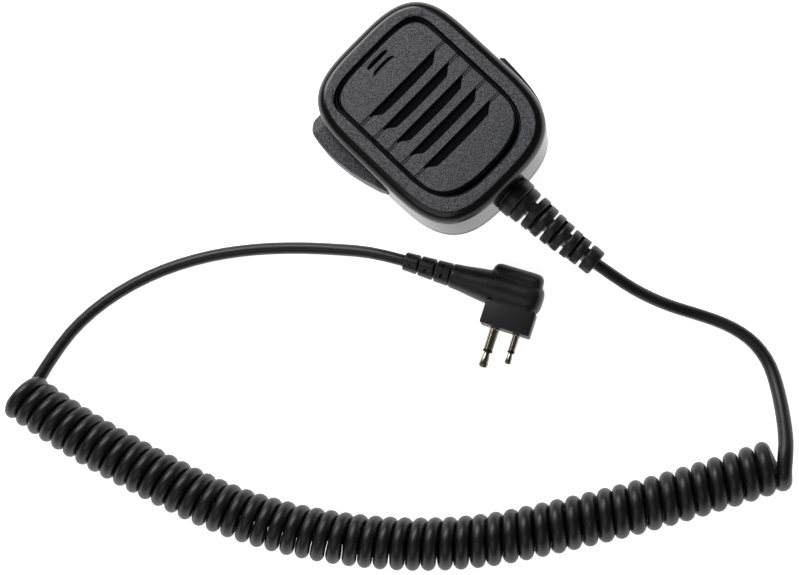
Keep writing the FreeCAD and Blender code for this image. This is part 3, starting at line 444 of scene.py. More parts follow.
# ---- Earpiece socket and cover ----
# The socket is a nylon body with a plain round mouth in the right wall. A moulded rubber strip covers
# it: its square pull end stands proud, and its other end is a thin strap anchored in the wall.
socket_y = -10.0
socket_z = 24.0
carve(front_housing, turned("socket_mouth", [(-4.0, 3.5), (2.0, 3.5)],
                            (axis_x + head_shape["half"], socket_y, socket_z), (1, 0, 0)))
cover_top_y = -2.3
cover_bottom_y = -25.6
cover_half_height = 4.8
cover_steps = 36
cover_loops = []
for step in range(cover_steps + 1):
    share = step / cover_steps
    y = cover_top_y + (cover_bottom_y - cover_top_y) * share
    inner = half_width(head_shape, y) + 0.02
    proud = 2.0 * (1 - share) ** 0.8 + 0.5
    proud *= min(1.0, 0.72 + 5 * share)
    half = cover_half_height * min(1.0, 0.88 + 3 * share, 0.7 + 2.2 * (1 - share))
    bend = min(0.9, proud * 0.6)
    cover_loops.append([(axis_x + x, y, socket_z + z)
                        for x, z in bulged_section(inner, inner + proud, half, bend, 5)])
cover_build = bmesh.new()
skin(cover_build, cover_loops)
socket_cover = new_piece("socket_flap", cover_build)
finish(socket_cover, grained_rubber("flap_rubber", "#202021", "#141415", 0.5, 0.5), "cover",
       ["socket_cover"])
# The front housing is whole here: its recess, its boot mouth and its socket mouth are cut.
finish(front_housing, shell_abs, "head", ["front_housing"])


# ---- Grille panel ----
# A separate ABS plate snapped into the front. Five louvre slots cross it: each is a fine double line at
# its ends and opens into a deep slit over a sloping floor. Two lens slits above serve the microphone.
panel_z = 36.9
panel_shape = dict(half=20.25, top=28.6, bottom=-27.3, bend_top=15.6, bend_bottom=-13.2, square_top=4.3,
                   square_bottom=2.7)
slot_count = 5
slot_pitch = 6.63
slot_first_y = 14.45
slot_floor = 2.35
slit_half_length = 4.85
slit_steps = 48
row_top_y = 15.3
row_bottom_y = -16.3
# From the middle out: the columns are closest where the slots begin to open and where they end.
columns = [0.0]
for count, pitch in ((10, 0.4), (10, 0.12), (14, 0.49), (24, 0.18), (8, 0.47)):
    columns += [columns[-1] + pitch * (step + 1) for step in range(count)]
columns = [-x / columns[-1] for x in reversed(columns[1:])] + [x / columns[-1] for x in columns]


def ease(value, start, end):
    """Smooth step from 0 at start to 1 at end."""
    share = min(max((value - start) / (end - start), 0.0), 1.0)
    return share * share * (3 - 2 * share)


def slot_section(x):
    """(distance below the slot's upper edge, depth) pairs across one slot, at one place along it."""
    opened = ease(-abs(x), -15.9, -11.9)
    deep = ease(-abs(x), -16.3, -15.5)
    tall = 1.05 + (2.15 + 0.5 * (1 - (x / 16) ** 2)) * opened
    line = ((-0.35, 0), (-0.1, 0), (0.0, 0.1), (0.04, 0.7), (0.12, 1.1), (0.26, 1.0), (0.32, 0.12),
            (0.8, 0.12), (0.86, 0.9), (1.0, 1.1), (1.08, 0.7), (1.12, 0.1), (1.2, 0), (1.4, 0))
    open_slot = ((-0.35, 0), (-0.1, 0), (0.0, 0.1), (0.05, 0.6), (0.08, slot_floor), (0.5, slot_floor),
                 (0.98, slot_floor), (1.06, 1.55), (0.55 * tall + 0.4, 1.75), (tall - 0.3, 2.1),
                 (tall - 0.12, 2.0), (tall - 0.04, 0.12), (tall + 0.1, 0), (tall + 0.35, 0))
    section = []
    for (thin_s, thin_d), (open_s, open_d) in zip(line, open_slot):
        section.append((thin_s + (open_s - thin_s) * deep, thin_d + (open_d - thin_d) * deep))
    return section


panel = bmesh.new()
rows = [[(row_top_y, 0.0)] * len(columns)]
for slot_index in range(slot_count):
    upper = slot_first_y - slot_pitch * slot_index
    sections = [slot_section(column * panel_shape["half"]) for column in columns]
    for step in range(len(sections[0])):
        rows.append([(upper - section[step][0], section[step][1]) for section in sections])
rows.append([(row_bottom_y, 0.0)] * len(columns))
grid = [[panel.verts.new((axis_x + column * half_width(panel_shape, y), y, panel_z - depth))
         for column, (y, depth) in zip(columns, row)] for row in rows]
slit_faces = []
for index, (upper_row, lower_row) in enumerate(zip(grid, grid[1:])):
    for column in range(len(columns) - 1):
        face = panel.faces.new((upper_row[column], upper_row[column + 1], lower_row[column + 1],
                                lower_row[column]))
        if min(vert.co.z for vert in face.verts) < panel_z - slot_floor + 0.01:
            slit_faces.append(face)


def cap_arc(above):
    """The panel's edge from one end of the rows, round the top or the bottom, to the other end."""
    end_y = row_top_y if above else row_bottom_y
    points = [Vector(point) for point, normal in outline(**panel_shape, count=360)]
    kept = [p for p in points if (p.y > end_y + 0.1 if above else p.y < end_y - 0.1)]
    kept.sort(key=lambda p: math.atan2(p.x - axis_x, abs(p.y - end_y)) * (1 if above else -1))
    return [panel.verts.new((p.x, p.y, panel_z)) for p in kept]


def lens(y, half_height, inset, depth_top, depth_bottom):
    """A loop of a microphone slit, drawn in by an inset; its floor slopes from top to bottom edge."""
    loop = []
    for step in range(slit_steps):
        angle = 2 * math.pi * step / slit_steps
        x = (slit_half_length - inset) * math.copysign(abs(math.cos(angle)) ** 0.75, math.cos(angle))
        across = math.copysign(abs(math.sin(angle)) ** 0.75, math.sin(angle))
        depth = depth_bottom + (depth_top - depth_bottom) * (across + 1) / 2
        loop.append(panel.verts.new((axis_x + x, y + (half_height - inset) * across, panel_z - depth)))
    return loop


top_arc = cap_arc(True)
bottom_arc = cap_arc(False)
top_edges = []
border = top_arc + grid[0][::-1]
for start, end in zip(border, border[1:] + border[:1]):
    top_edges.append(panel.edges.get((start, end)) or panel.edges.new((start, end)))
for slit_y, slit_half, top_depth, floor_depth in ((26.3, 0.95, 1.6, 0.7), (23.05, 1.3, 1.3, 0.4)):
    loops = [lens(slit_y, slit_half, -0.2, 0, 0), lens(slit_y, slit_half, 0.0, 0.06, 0.04),
             lens(slit_y, slit_half, 0.08, 0.4, 0.06), lens(slit_y, slit_half, 0.16, top_depth, floor_depth)]
    for outer, inner in zip(loops, loops[1:]):
        for index in range(slit_steps):
            panel.faces.new((outer[index - 1], outer[index], inner[index], inner[index - 1]))
    panel.faces.new(loops[-1])
    top_edges += [panel.edges.get((loops[0][index - 1], loops[0][index])) for index in range(slit_steps)]
bmesh.ops.triangle_fill(panel, use_beauty=True, edges=top_edges, normal=(0, 0, 1))
panel.faces.new(grid[-1] + bottom_arc)

rim = [row[-1] for row in grid[1:]] + bottom_arc + [row[0] for row in grid[::-1]] + top_arc + [grid[0][-1]]
last = rim
for out, z in ((0.1, 0.03), (0.2, 0.12), (0.28, 0.35), (0.34, 1.2), (0.45, 1.45), (0.6, 1.45), (0.68, 1.3),
               (0.74, 0.95), (0.84, 0.9), (0.9, 1.0), (0.9, 2.55)):
    fresh = []
    for index, vert in enumerate(rim):
        way = rim[(index + 1) % len(rim)].co.xy - rim[index - 1].co.xy
        normal = Vector((-way.y, way.x)).normalized()
        fresh.append(panel.verts.new((*(vert.co.xy + normal * out), min(panel_z - z, vert.co.z - z * 0.4))))
    for index in range(len(rim)):
        panel.faces.new((last[index - 1], last[index], fresh[index], fresh[index - 1]))
    last = fresh
panel.faces.new(last)
for face in slit_faces:
    face.material_index = 1
grille_panel = new_piece("grille_plate", panel, 30.0)


def woven_cloth(name, thread, colour):
    """Acoustic dust cloth: plain-woven polyester, one dark thread over and one under; painted shade darkens
    the low places between the threads.
    """
    material, tree, output, place = new_material(name)
    warp = add_node(tree, "ShaderNodeTexWave", {"bands_direction": "X"},
                    {"Scale": 1 / (thread * mm) / math.pi}, {"Vector": place})
    weft = add_node(tree, "ShaderNodeTexWave", {"bands_direction": "Y"},
                    {"Scale": 1 / (thread * mm) / math.pi}, {"Vector": place})
    height = add_node(tree, "ShaderNodeMath", {"operation": "MAXIMUM"},
                      links={0: warp.outputs["Fac"], 1: weft.outputs["Fac"]})
    # Painted shade: where the weave is low, between the threads, the base colour falls to near black.
    tone = add_node(tree, "ShaderNodeMix", {"data_type": "RGBA"}, {6: linear("#010101"), 7: linear(colour)},
                    {0: height.outputs[0]})
    relief = add_node(tree, "ShaderNodeBump", values={"Strength": 0.7, "Distance": 0.1 * mm},
                      links={"Height": height.outputs[0]})
    cloth = add_node(tree, "ShaderNodeBsdfPrincipled", values={"Roughness": 0.95, "Specular IOR Level": 0.2},
                     links={"Base Color": tone.outputs[2], "Normal": relief.outputs[0]})
    tree.links.new(cloth.outputs[0], output.inputs["Surface"])
    return material


dust_weave = woven_cloth("acoustic_cloth", 0.3, "#0b0b0b")
# The grille's pale grey speckle is painted glints.
panel_abs = eroded_abs("grille_abs", ("#141416", "#848488"), "#080809", panel_z - 1.5, panel_z - 0.05)
finish(grille_panel, panel_abs, "head", ["grille_panel"])
grille_panel.data.materials.append(dust_weave)


# ---- Cord boot ----
# Overmoulded soft PVC. A round collar meets the housing, then seven ribs in a row, joined by flat webs
# that alternate by a quarter turn, so that the boot bends evenly both ways as it tapers to the cord.
boot_root = Vector((axis_x, -37.5, 21.0))
boot_tip = Vector((3.9, -75.6, 16.75))
rib_count = 7
rib_thickness = 3.0
rib_gap = 1.25
first_rib_at = 9.5
last_rib_size = 0.72
end_length = 4.75
web_width = 4.4


def one_rib():
    """A unit rib about +Z in metres: a round disc with soft edges, and the flat web to the one before."""
    radius = 6.5
    profile = [(0.0, radius - 0.5), (0.12, radius - 0.2), (0.4, radius), (rib_thickness - 0.4, radius),
               (rib_thickness - 0.12, radius - 0.2), (rib_thickness, radius - 0.5)]
    disc = turned("rib_disc", profile, sides=64)
    web = rounded_block("rib_web", (-web_width / 2, -radius * 0.93, -rib_gap - 0.6),
                        (web_width / 2, radius * 0.93, 0.6), 0.25, 2)
    carve(disc, web, "UNION")
    return disc


def geometry_tree(name, inputs):
    """A geometry tree with named inputs: the tree, the identifier of each input, and its outlets."""
    tree = bpy.data.node_groups.new(name, "GeometryNodeTree")
    tree.interface.new_socket("Geometry", in_out="OUTPUT", socket_type="NodeSocketGeometry")
    sockets = {}
    for title, kind in inputs:
        made = tree.interface.new_socket(title, in_out="INPUT", socket_type="NodeSocket" + kind)
        sockets[title] = made.identifier
    return tree, sockets, add_node(tree, "NodeGroupInput").outputs


def close_tree(tree, instances, material):
    """Ends a geometry tree: its instances become real and are given their material."""
    real = add_node(tree, "GeometryNodeRealizeInstances", links={0: instances})
    dressed = add_node(tree, "GeometryNodeSetMaterial", links={"Geometry": real.outputs[0],
                                                               "Material": material})
    add_node(tree, "NodeGroupOutput", links={0: dressed.outputs[0]})


def rib_row(rib, material, start, bend, end, count, last_size):
    """Ribs strung along a bent line, each a quarter turn from the one before and a little smaller."""
    tree, sockets, given = geometry_tree("rib_row", (
        ("Rib", "Object"), ("Start", "Vector"), ("Bend", "Vector"), ("End", "Vector"), ("Count", "Int"),
        ("Last size", "Float"), ("Material", "Material")))
    spine = add_node(tree, "GeometryNodeCurveQuadraticBezier", values={"Resolution": 32},
                     links={"Start": given["Start"], "Middle": given["Bend"], "End": given["End"]})
    spots = add_node(tree, "GeometryNodeResampleCurve", {"mode": "COUNT"},
                     links={"Curve": spine.outputs[0], "Count": given["Count"]})
    unit = add_node(tree, "GeometryNodeObjectInfo", links={"Object": given["Rib"]})
    index = add_node(tree, "GeometryNodeInputIndex")
    quarter = add_node(tree, "ShaderNodeMath", {"operation": "MULTIPLY"}, {1: math.pi / 2},
                       {0: index.outputs[0]})
    way = add_node(tree, "GeometryNodeInputTangent")
    upright = add_node(tree, "FunctionNodeAlignRotationToVector", {"axis": "Z"},
                       links={"Vector": way.outputs[0]})
    spin = add_node(tree, "FunctionNodeAxisAngleToRotation", values={"Axis": (0, 0, 1)},
                    links={"Angle": quarter.outputs[0]})
    turn = add_node(tree, "FunctionNodeRotateRotation", {"rotation_space": "LOCAL"},
                    links={"Rotation": upright.outputs[0], "Rotate By": spin.outputs[0]})
    final = add_node(tree, "ShaderNodeMath", {"operation": "SUBTRACT"}, {1: 1.0}, {0: given["Count"]})
    size = add_node(tree, "ShaderNodeMapRange", values={"From Min": 0.0, "To Min": 1.0},
                    links={"Value": index.outputs[0], "From Max": final.outputs[0],
                           "To Max": given["Last size"]})
    scale = add_node(tree, "ShaderNodeCombineXYZ", values={"Z": 1.0},
                     links={"X": size.outputs[0], "Y": size.outputs[0]})
    ribs = add_node(tree, "GeometryNodeInstanceOnPoints", links={
        "Points": spots.outputs[0], "Instance": unit.outputs["Geometry"], "Rotation": turn.outputs[0],
        "Scale": scale.outputs[0]})
    close_tree(tree, ribs.outputs[0], given["Material"])
    made = link_object("ribbed_boot", bpy.data.meshes.new("ribbed_boot"))
    change = made.modifiers.new("ribs", "NODES")
    change.node_group = tree
    for name, value in (("Rib", rib), ("Start", start * mm), ("Bend", bend * mm), ("End", end * mm),
                        ("Count", count), ("Last size", last_size), ("Material", material)):
        change[sockets[name]] = value
    bake(made)
    bpy.data.objects.remove(rib)
    return made


def soft_pvc(name, shade, dust, roughness):
    """Overmoulded PVC: black and satin, a little dusty, with the faintest orange peel."""
    material, tree, output, place = new_material(name)
    peel = add_node(tree, "ShaderNodeTexNoise", values={"Scale": 1 / (0.9 * mm), "Detail": 2.0},
                    links={"Vector": place})
    handled = add_node(tree, "ShaderNodeTexNoise", values={"Scale": 1 / (7 * mm), "Detail": 3.0},
                       links={"Vector": place})
    colour = add_node(tree, "ShaderNodeMix", {"data_type": "RGBA"}, {6: linear(shade), 7: linear(dust)},
                      {0: handled.outputs["Fac"]})
    gloss = add_node(tree, "ShaderNodeMapRange",
                     values={"To Min": roughness - 0.06, "To Max": roughness + 0.08},
                     links={"Value": handled.outputs["Fac"]})
    relief = add_node(tree, "ShaderNodeBump", values={"Strength": 0.15, "Distance": 0.06 * mm},
                      links={"Height": peel.outputs["Fac"]})
    pvc = add_node(tree, "ShaderNodeBsdfPrincipled", values={"IOR": 1.52},
                   links={"Base Color": colour.outputs[2], "Roughness": gloss.outputs[0],
                          "Normal": relief.outputs[0]})
    tree.links.new(pvc.outputs[0], output.inputs["Surface"])
    return material


boot_pvc = soft_pvc("soft_pvc", "#0a0a0b", "#121213", 0.4)
first_rib = boot_root + (boot_tip - boot_root).normalized() * first_rib_at
last_rib = boot_tip - (boot_tip - first_rib).normalized() * end_length
boot_bend = first_rib.lerp(last_rib, 0.5) + Vector((-0.9, 0, 0.5))
cord_boot = rib_row(one_rib(), boot_pvc, first_rib, boot_bend, last_rib, rib_count, last_rib_size)
collar = turned("boot_collar", [(-2.4, 6.0), (0.02, 6.0), (0.05, 7.0), (0.35, 7.2), (3.2, 7.25), (4.2, 7.1),
                                (4.5, 6.8), (4.6, 6.4), (4.75, 6.2), (4.9, 6.4), (5.0, 6.6), (5.4, 6.7),
                                (7.6, 6.6), (7.9, 6.4), (8.05, 6.1)], boot_root, (0.03, -1, -0.08), 64)
carve(cord_boot, collar, "UNION", tangled=True)
end_block = turned("boot_end", [(0.3, 4.2), (0.35, 4.8), (0.6, 4.9), (4.0, 4.85), (4.5, 4.55), (4.7, 4.0),
                                (end_length, 2.8)], last_rib, boot_tip - last_rib, 64)
carve(cord_boot, end_block, "UNION", tangled=True)
finish(cord_boot, boot_pvc, "head", ["cord_boot"])


# ---- Speaker and microphone ----
# Behind the cloth a 36 mm moving-coil speaker is clamped on a foam-rubber gasket: plated steel basket,
# formed film cone, copper voice coil and magnet pot. The microphone capsule sits in a rubber cup.
def sheet_metal(name, colour, grain, stretch, gloss_low, gloss_high):
    """Pressed or drawn sheet: a metal whose gloss varies along the lines that forming left on it."""
    material, tree, output, place = new_material(name)
    drawn = add_node(tree, "ShaderNodeMapping", values={"Scale": (1.0, stretch, 1.0)},
                     links={"Vector": place})
    lines = add_node(tree, "ShaderNodeTexNoise", values={"Scale": 1 / (grain * mm), "Detail": 2.0},
                     links={"Vector": drawn.outputs[0]})
    gloss = add_node(tree, "ShaderNodeMapRange", values={"To Min": gloss_low, "To Max": gloss_high},
                     links={"Value": lines.outputs["Fac"]})
    metal = add_node(tree, "ShaderNodeBsdfPrincipled", values={"Base Color": linear(colour), "Metallic": 1.0},
                     links={"Roughness": gloss.outputs[0]})
    tree.links.new(metal.outputs[0], output.inputs["Surface"])
    return material


def wound_copper():
    """Enamelled copper wire, wound close about the speaker's axis: fine amber lines."""
    material, tree, output, place = new_material("enamelled_copper")
    layers = add_node(tree, "ShaderNodeTexWave", {"bands_direction": "Z"},
                      {"Scale": 1 / (0.1 * mm) / math.pi}, {"Vector": place})
    tint = add_node(tree, "ShaderNodeMix", {"data_type": "RGBA"},
                    {6: linear("#6d3216"), 7: linear("#c46a35")}, {0: layers.outputs["Fac"]})
    metal = add_node(tree, "ShaderNodeBsdfPrincipled", values={"Metallic": 1.0, "Roughness": 0.3},
                     links={"Base Color": tint.outputs[2]})
    tree.links.new(metal.outputs[0], output.inputs["Surface"])
    return material


finish(nodes["dust_cloth"], dust_weave)
steel = sheet_metal("tin_plated_steel", "#a7a8a6", 3, 14.0, 0.3, 0.5)
for name in ("speaker_frame", "speaker_magnet", "cord_clamp"):
    finish(nodes[name], steel)
finish(nodes["speaker_cone"], soft_pvc("formed_film", "#101012", "#1c1c1e", 0.3))
finish(nodes["voice_coil"], wound_copper())
finish(nodes["mic_capsule"], sheet_metal("drawn_aluminium", "#c8cacc", 0.3, 1.0, 0.25, 0.4))
seal_rubber = grained_rubber("foam_rubber", "#222223", "#101010", 0.25, 0.8)
for name in ("speaker_gasket", "mic_holder", "housing_seal"):
    finish(nodes[name], seal_rubber)


# ---- Circuit board ----
# Green solder-masked glass epoxy, screwed to four posts. It carries the talk switch, whose plunger the
# talk button pushes, and the nylon earpiece socket stands beside it.
def solder_mask():
    """Solder mask over copper tracks: glossy green with paler track lines and a glass weave beneath."""
    material, tree, output, place = new_material("solder_mask")
    tracks = add_node(tree, "ShaderNodeTexBrick", {"offset": 0.5},
                      {"Scale": 1 / (5 * mm), "Mortar Size": 0.08, "Color1": linear("#0d4a2a"),
                       "Color2": linear("#0f5230"), "Mortar": linear("#2c7a4a")}, {"Vector": place})
    weave = add_node(tree, "ShaderNodeTexChecker", values={"Scale": 1 / (0.5 * mm)}, links={"Vector": place})
    gloss = add_node(tree, "ShaderNodeMapRange", values={"To Min": 0.25, "To Max": 0.32},
                     links={"Value": weave.outputs["Fac"]})
    board = add_node(tree, "ShaderNodeBsdfPrincipled", values={"IOR": 1.5},
                     links={"Base Color": tracks.outputs["Color"], "Roughness": gloss.outputs[0]})
    tree.links.new(board.outputs[0], output.inputs["Surface"])
    return material


finish(nodes["circuit_board"], solder_mask())
switch_nylon = soft_pvc("moulded_nylon", "#0e0e0f", "#19191a", 0.4)
for name in ("talk_switch", "switch_plunger", "earpiece_socket"):
    finish(nodes[name], switch_nylon)


# ---- Curly cord ----
# Screened cable in a black polyurethane jacket, wound hot on a mandrel so that it springs back into
# close turns. A straight tail leaves each end: one goes to the head, the other to the plug.
wire_in_tail = 4.3
wire_at_head = 5.4
wire_at_plug = 5.05
coil_outer = 18.5
coil_turns = 52
steps_per_turn = 16
start_angle = math.radians(118)
end_angle = math.radians(262)
closing = 0.055
axis_steps = 800
head_swell = 6
plug_swell = 3
tail_z = 2.2
coil_z = 9.3
head_tail = [
    (3.9, -75.2, 16.8), (5.7, -86.0, 14.0), (8.6, -95.0, 9.0), (12.6, -103.5, 4.2), (17.6, -112.5, tail_z),
    (21.8, -122.0, tail_z), (23.6, -131.6, tail_z), (21.8, -141.0, 2.7), (16.8, -149.2, 5.2),
    (10.6, -157.0, 9.6), (4.6, -163.4, 13.8), (0.0, -167.0, 15.7),
]
coil_axis = [
    (-2.4, -167.3, coil_z), (-33.4, -151.3, coil_z), (-68.4, -129.8, coil_z), (-97.9, -109.8, coil_z),
    (-125.4, -80.3, coil_z), (-146.9, -45.8, coil_z), (-159.4, -9.3, coil_z), (-167.9, 20.7, coil_z),
    (-171.7, 41.6, coil_z),
]
plug_tail = [
    (-164.9, 42.6, 2.4), (-157.7, 44.6, tail_z), (-142.0, 47.2, tail_z), (-124.5, 45.4, tail_z),
    (-107.0, 39.8, tail_z), (-91.0, 31.2, tail_z), (-77.0, 20.6, tail_z), (-64.6, 8.6, tail_z),
    (-54.2, -3.6, 3.0), (-46.2, -14.2, 5.4), (-41.05, -24.15, 6.3),
]


def spline_curve(name, points, thickness=None):
    """A NURBS curve through millimetre control points; thickness is one diameter for each point."""
    data = bpy.data.curves.new(name, "CURVE")
    data.dimensions = "3D"
    spline = data.splines.new("NURBS")
    spline.points.add(len(points) - 1)
    for index, point in enumerate(points):
        spline.points[index].co = (*(Vector(point) * mm), 1.0)
        spline.points[index].radius = 1.0 if thickness is None else thickness[index]
    spline.order_u = 3
    spline.use_endpoint_u = True
    return link_object(name, data)


def places_along(points, count):
    """Evenly spaced places, in millimetres, on the smooth line of a route, with its directions."""
    guide = spline_curve("guide", points)
    guide.data.splines[0].resolution_u = 24
    bpy.context.view_layer.update()
    line = bpy.data.meshes.new_from_object(guide.evaluated_get(bpy.context.evaluated_depsgraph_get()))
    path = [vertex.co / mm for vertex in line.vertices]
    bpy.data.objects.remove(guide)
    gone = [0.0]
    for start, end in zip(path, path[1:]):
        gone.append(gone[-1] + (end - start).length)
    places = []
    at = 0
    for step in range(count):
        want = gone[-1] * step / (count - 1)
        while at < len(path) - 2 and gone[at + 1] < want:
            at += 1
        way = path[at + 1] - path[at]
        places.append((path[at] + way * ((want - gone[at]) / way.length), way.normalized()))
    return places


def coil_points():
    """The helix: left-handed about the coil's axis, its turns a little closer towards the plug."""
    total = 2 * math.pi * coil_turns + end_angle - start_angle
    count = int(total / (2 * math.pi) * steps_per_turn) + 1
    axis = places_along(coil_axis, axis_steps + 1)
    # The curve runs a little inside its control points, so they stand that much further out.
    drawn_in = 0.75 + 0.25 * math.cos(2 * math.pi / steps_per_turn)
    points = []
    thickness = []
    for step in range(count):
        share = step / (count - 1)
        along = share * (1 + closing - closing * share)
        wire = wire_at_head + (wire_at_plug - wire_at_head) * share
        place, way = axis[round(axis_steps * min(along, 1.0))]
        side = Vector((way.y, -way.x, 0))
        angle = start_angle + total * share
        reach = (coil_outer - wire) / 2 / drawn_in
        points.append(place + (side * math.cos(angle) + Vector((0, 0, 1)) * math.sin(angle)) * reach)
        thickness.append(wire)
    return points, thickness


turns, turns_thickness = coil_points()
# Each tail swells to the coil's thickness over its last few points.
head_thickness = [wire_in_tail + (wire_at_head - wire_in_tail) * max(0, head_swell + 1 - left) / head_swell
                  for left in range(len(head_tail), 0, -1)]
plug_thickness = [wire_in_tail + (wire_at_plug - wire_in_tail) * max(0, plug_swell - 1 - index) / plug_swell
                  for index in range(len(plug_tail))]
cord_thickness = head_thickness + turns_thickness + plug_thickness
curly_cord = spline_curve("curly_cord", head_tail + turns + plug_tail,
                          [thickness / wire_at_head for thickness in cord_thickness])
curly_cord.data.bevel_depth = wire_at_head / 2 * mm
curly_cord.data.bevel_resolution = 5
curly_cord.data.use_fill_caps = True
curly_cord.data.splines[0].resolution_u = 3


def cord_jacket():
    """Extruded polyurethane: black, satin, with a faint drag texture that breaks its highlights."""
    material, tree, output, place = new_material("polyurethane_jacket")
    drag = add_node(tree, "ShaderNodeTexNoise", values={"Scale": 1 / (1.4 * mm), "Detail": 3.0},
                    links={"Vector": place})
    wear = add_node(tree, "ShaderNodeTexNoise", values={"Scale": 1 / (14 * mm), "Detail": 2.0},
                    links={"Vector": place})
    gloss = add_node(tree, "ShaderNodeMapRange", values={"To Min": 0.34, "To Max": 0.48},
                     links={"Value": wear.outputs["Fac"]})
    relief = add_node(tree, "ShaderNodeBump", values={"Strength": 0.12, "Distance": 0.05 * mm},
                      links={"Height": drag.outputs["Fac"]})
    jacket = add_node(tree, "ShaderNodeBsdfPrincipled", values={"Base Color": linear("#0d0d0e"), "IOR": 1.5},
                      links={"Roughness": gloss.outputs[0], "Normal": relief.outputs[0]})
    tree.links.new(jacket.outputs[0], output.inputs["Surface"])
    return material


jacket_material = cord_jacket()
finish(curly_cord, jacket_material, "head", ["cord_tail_head", "cord_coil", "cord_tail_plug"])
finish(nodes["cord_inner_end"], jacket_material)


# ---- Plug ----
# A right-angle plug that lies on its side. Its soft PVC body is moulded over the cord's ribbed relief
# as a round barrel with a thinner one beside it, over a nylon block that holds two turned contacts.
plug_entry = Vector((-41.05, -24.15, 6.3))
plug_turn = Matrix.Rotation(math.radians(-63.4), 4, "Z")
plug_frame = Matrix.Translation(plug_entry * mm) @ plug_turn
pin_root = 13.4
pin_way = (0, -1, 0)


def on_plug(piece):
    """Moves a piece made about the cord's end into the plug's place."""
    piece.data.transform(plug_frame)
    piece.data.update()
    return piece


relief_rings = ((0.0, 5.3), (5.9, 11.3), (11.9, 17.3))


def relief_profile():
    """Half profile of the tapered relief: three rings between narrow grooves."""
    profile = []
    for start, end in relief_rings:
        radius = 3.3 + start / 18.0
        profile += [(start, radius - 0.9), (start + 0.1, radius - 0.25), (start + 0.4, radius),
                    (end - 0.3, radius + 0.22), (end - 0.05, radius), (end, radius - 0.8)]
    return profile + [(17.9, 3.4), (18.4, 3.4)]


plug_relief = turned("relief_rings", relief_profile(), way=(1, 0, 0))
pockets = bmesh.new()
for start, end in relief_rings:
    for side in (-1, 1):
        for face in (-1, 1):
            spot = Matrix.Translation((start + 2.6, side * 1.9, face * 3.5))
            bmesh.ops.create_cube(pockets, size=1.0, matrix=spot @ Matrix.Diagonal((1.1, 1.5, 1.6, 1)))
carve(plug_relief, new_piece("relief_pockets", pockets))
finish(on_plug(plug_relief), boot_pvc, "head", ["plug_relief"])

barrel = [(17.6, 4.1), (17.8, 4.3), (18.3, 4.4), (22.0, 4.75), (26.0, 5.35), (31.0, 6.0), (34.0, 6.1),
          (45.5, 6.1), (48.0, 5.9), (49.8, 5.2), (50.9, 4.1), (51.4, 2.6), (51.5, 1.0)]
plug_body = turned("plug_barrel", barrel, way=(1, 0, 0), sides=64)
hump = [(31.4, 1.0), (31.7, 2.4), (32.6, 3.4), (34.0, 3.8), (47.0, 3.9), (48.6, 3.6), (49.6, 2.7),
        (50.0, 1.2)]
carve(plug_body, turned("plug_hump", hump, (0, 5.35, 0.9), (1, 0, 0), 64), "UNION")
saddle = rounded_block("plug_saddle", (33.5, -6.6, -5.2), (49.6, 2.0, 5.2), 2.6, 4)
carve(plug_body, saddle, "UNION")
melt = plug_body.modifiers.new("melt", "REMESH")
melt.mode = "VOXEL"
melt.voxel_size = 0.28 * mm
soften = plug_body.modifiers.new("soften", "SMOOTH")
soften.factor = 0.5
soften.iterations = 14
bake(plug_body, 80.0)
finish(on_plug(plug_body), soft_pvc("plug_pvc", "#0a0a0b", "#131314", 0.42), "head",
       ["plug_body"])

plug_block = rounded_block("contact_block", (32.6, -pin_root, -4.8), (50.8, -4.6, 4.8), 0.55)
finish(on_plug(plug_block), soft_pvc("glass_filled_nylon", "#0c0c0d", "#141415", 0.5), "head",
       ["plug_block"])


def nickel_plate():
    """Turned brass under bright nickel: a warm mirror with fine lathe rings across its length."""
    material, tree, output, place = new_material("nickel_on_brass")
    turning = add_node(tree, "ShaderNodeTexNoise", values={"Scale": 1 / (0.25 * mm), "Detail": 2.0},
                       links={"Vector": place})
    gloss = add_node(tree, "ShaderNodeMapRange", values={"To Min": 0.1, "To Max": 0.24},
                     links={"Value": turning.outputs["Fac"]})
    tint = add_node(tree, "ShaderNodeMix", {"data_type": "RGBA"},
                    {6: linear("#8f887b"), 7: linear("#b3aa99")}, {0: turning.outputs["Fac"]})
    metal = add_node(tree, "ShaderNodeBsdfPrincipled", values={"Metallic": 1.0},
                     links={"Base Color": tint.outputs[2], "Roughness": gloss.outputs[0]})
    tree.links.new(metal.outputs[0], output.inputs["Surface"])
    return material


def acetal(name, shade):
    """Turned acetal ring: smooth and waxy, a little light goes into it."""
    material, tree, output, place = new_material(name)
    cloud = add_node(tree, "ShaderNodeTexNoise", values={"Scale": 1 / (2 * mm)}, links={"Vector": place})
    gloss = add_node(tree, "ShaderNodeMapRange", values={"To Min": 0.25, "To Max": 0.4},
                     links={"Value": cloud.outputs["Fac"]})
    ring_plastic = add_node(tree, "ShaderNodeBsdfPrincipled",
                            values={"Base Color": linear(shade), "IOR": 1.48},
                            links={"Roughness": gloss.outputs[0]})
    tree.links.new(ring_plastic.outputs[0], output.inputs["Surface"])
    return material


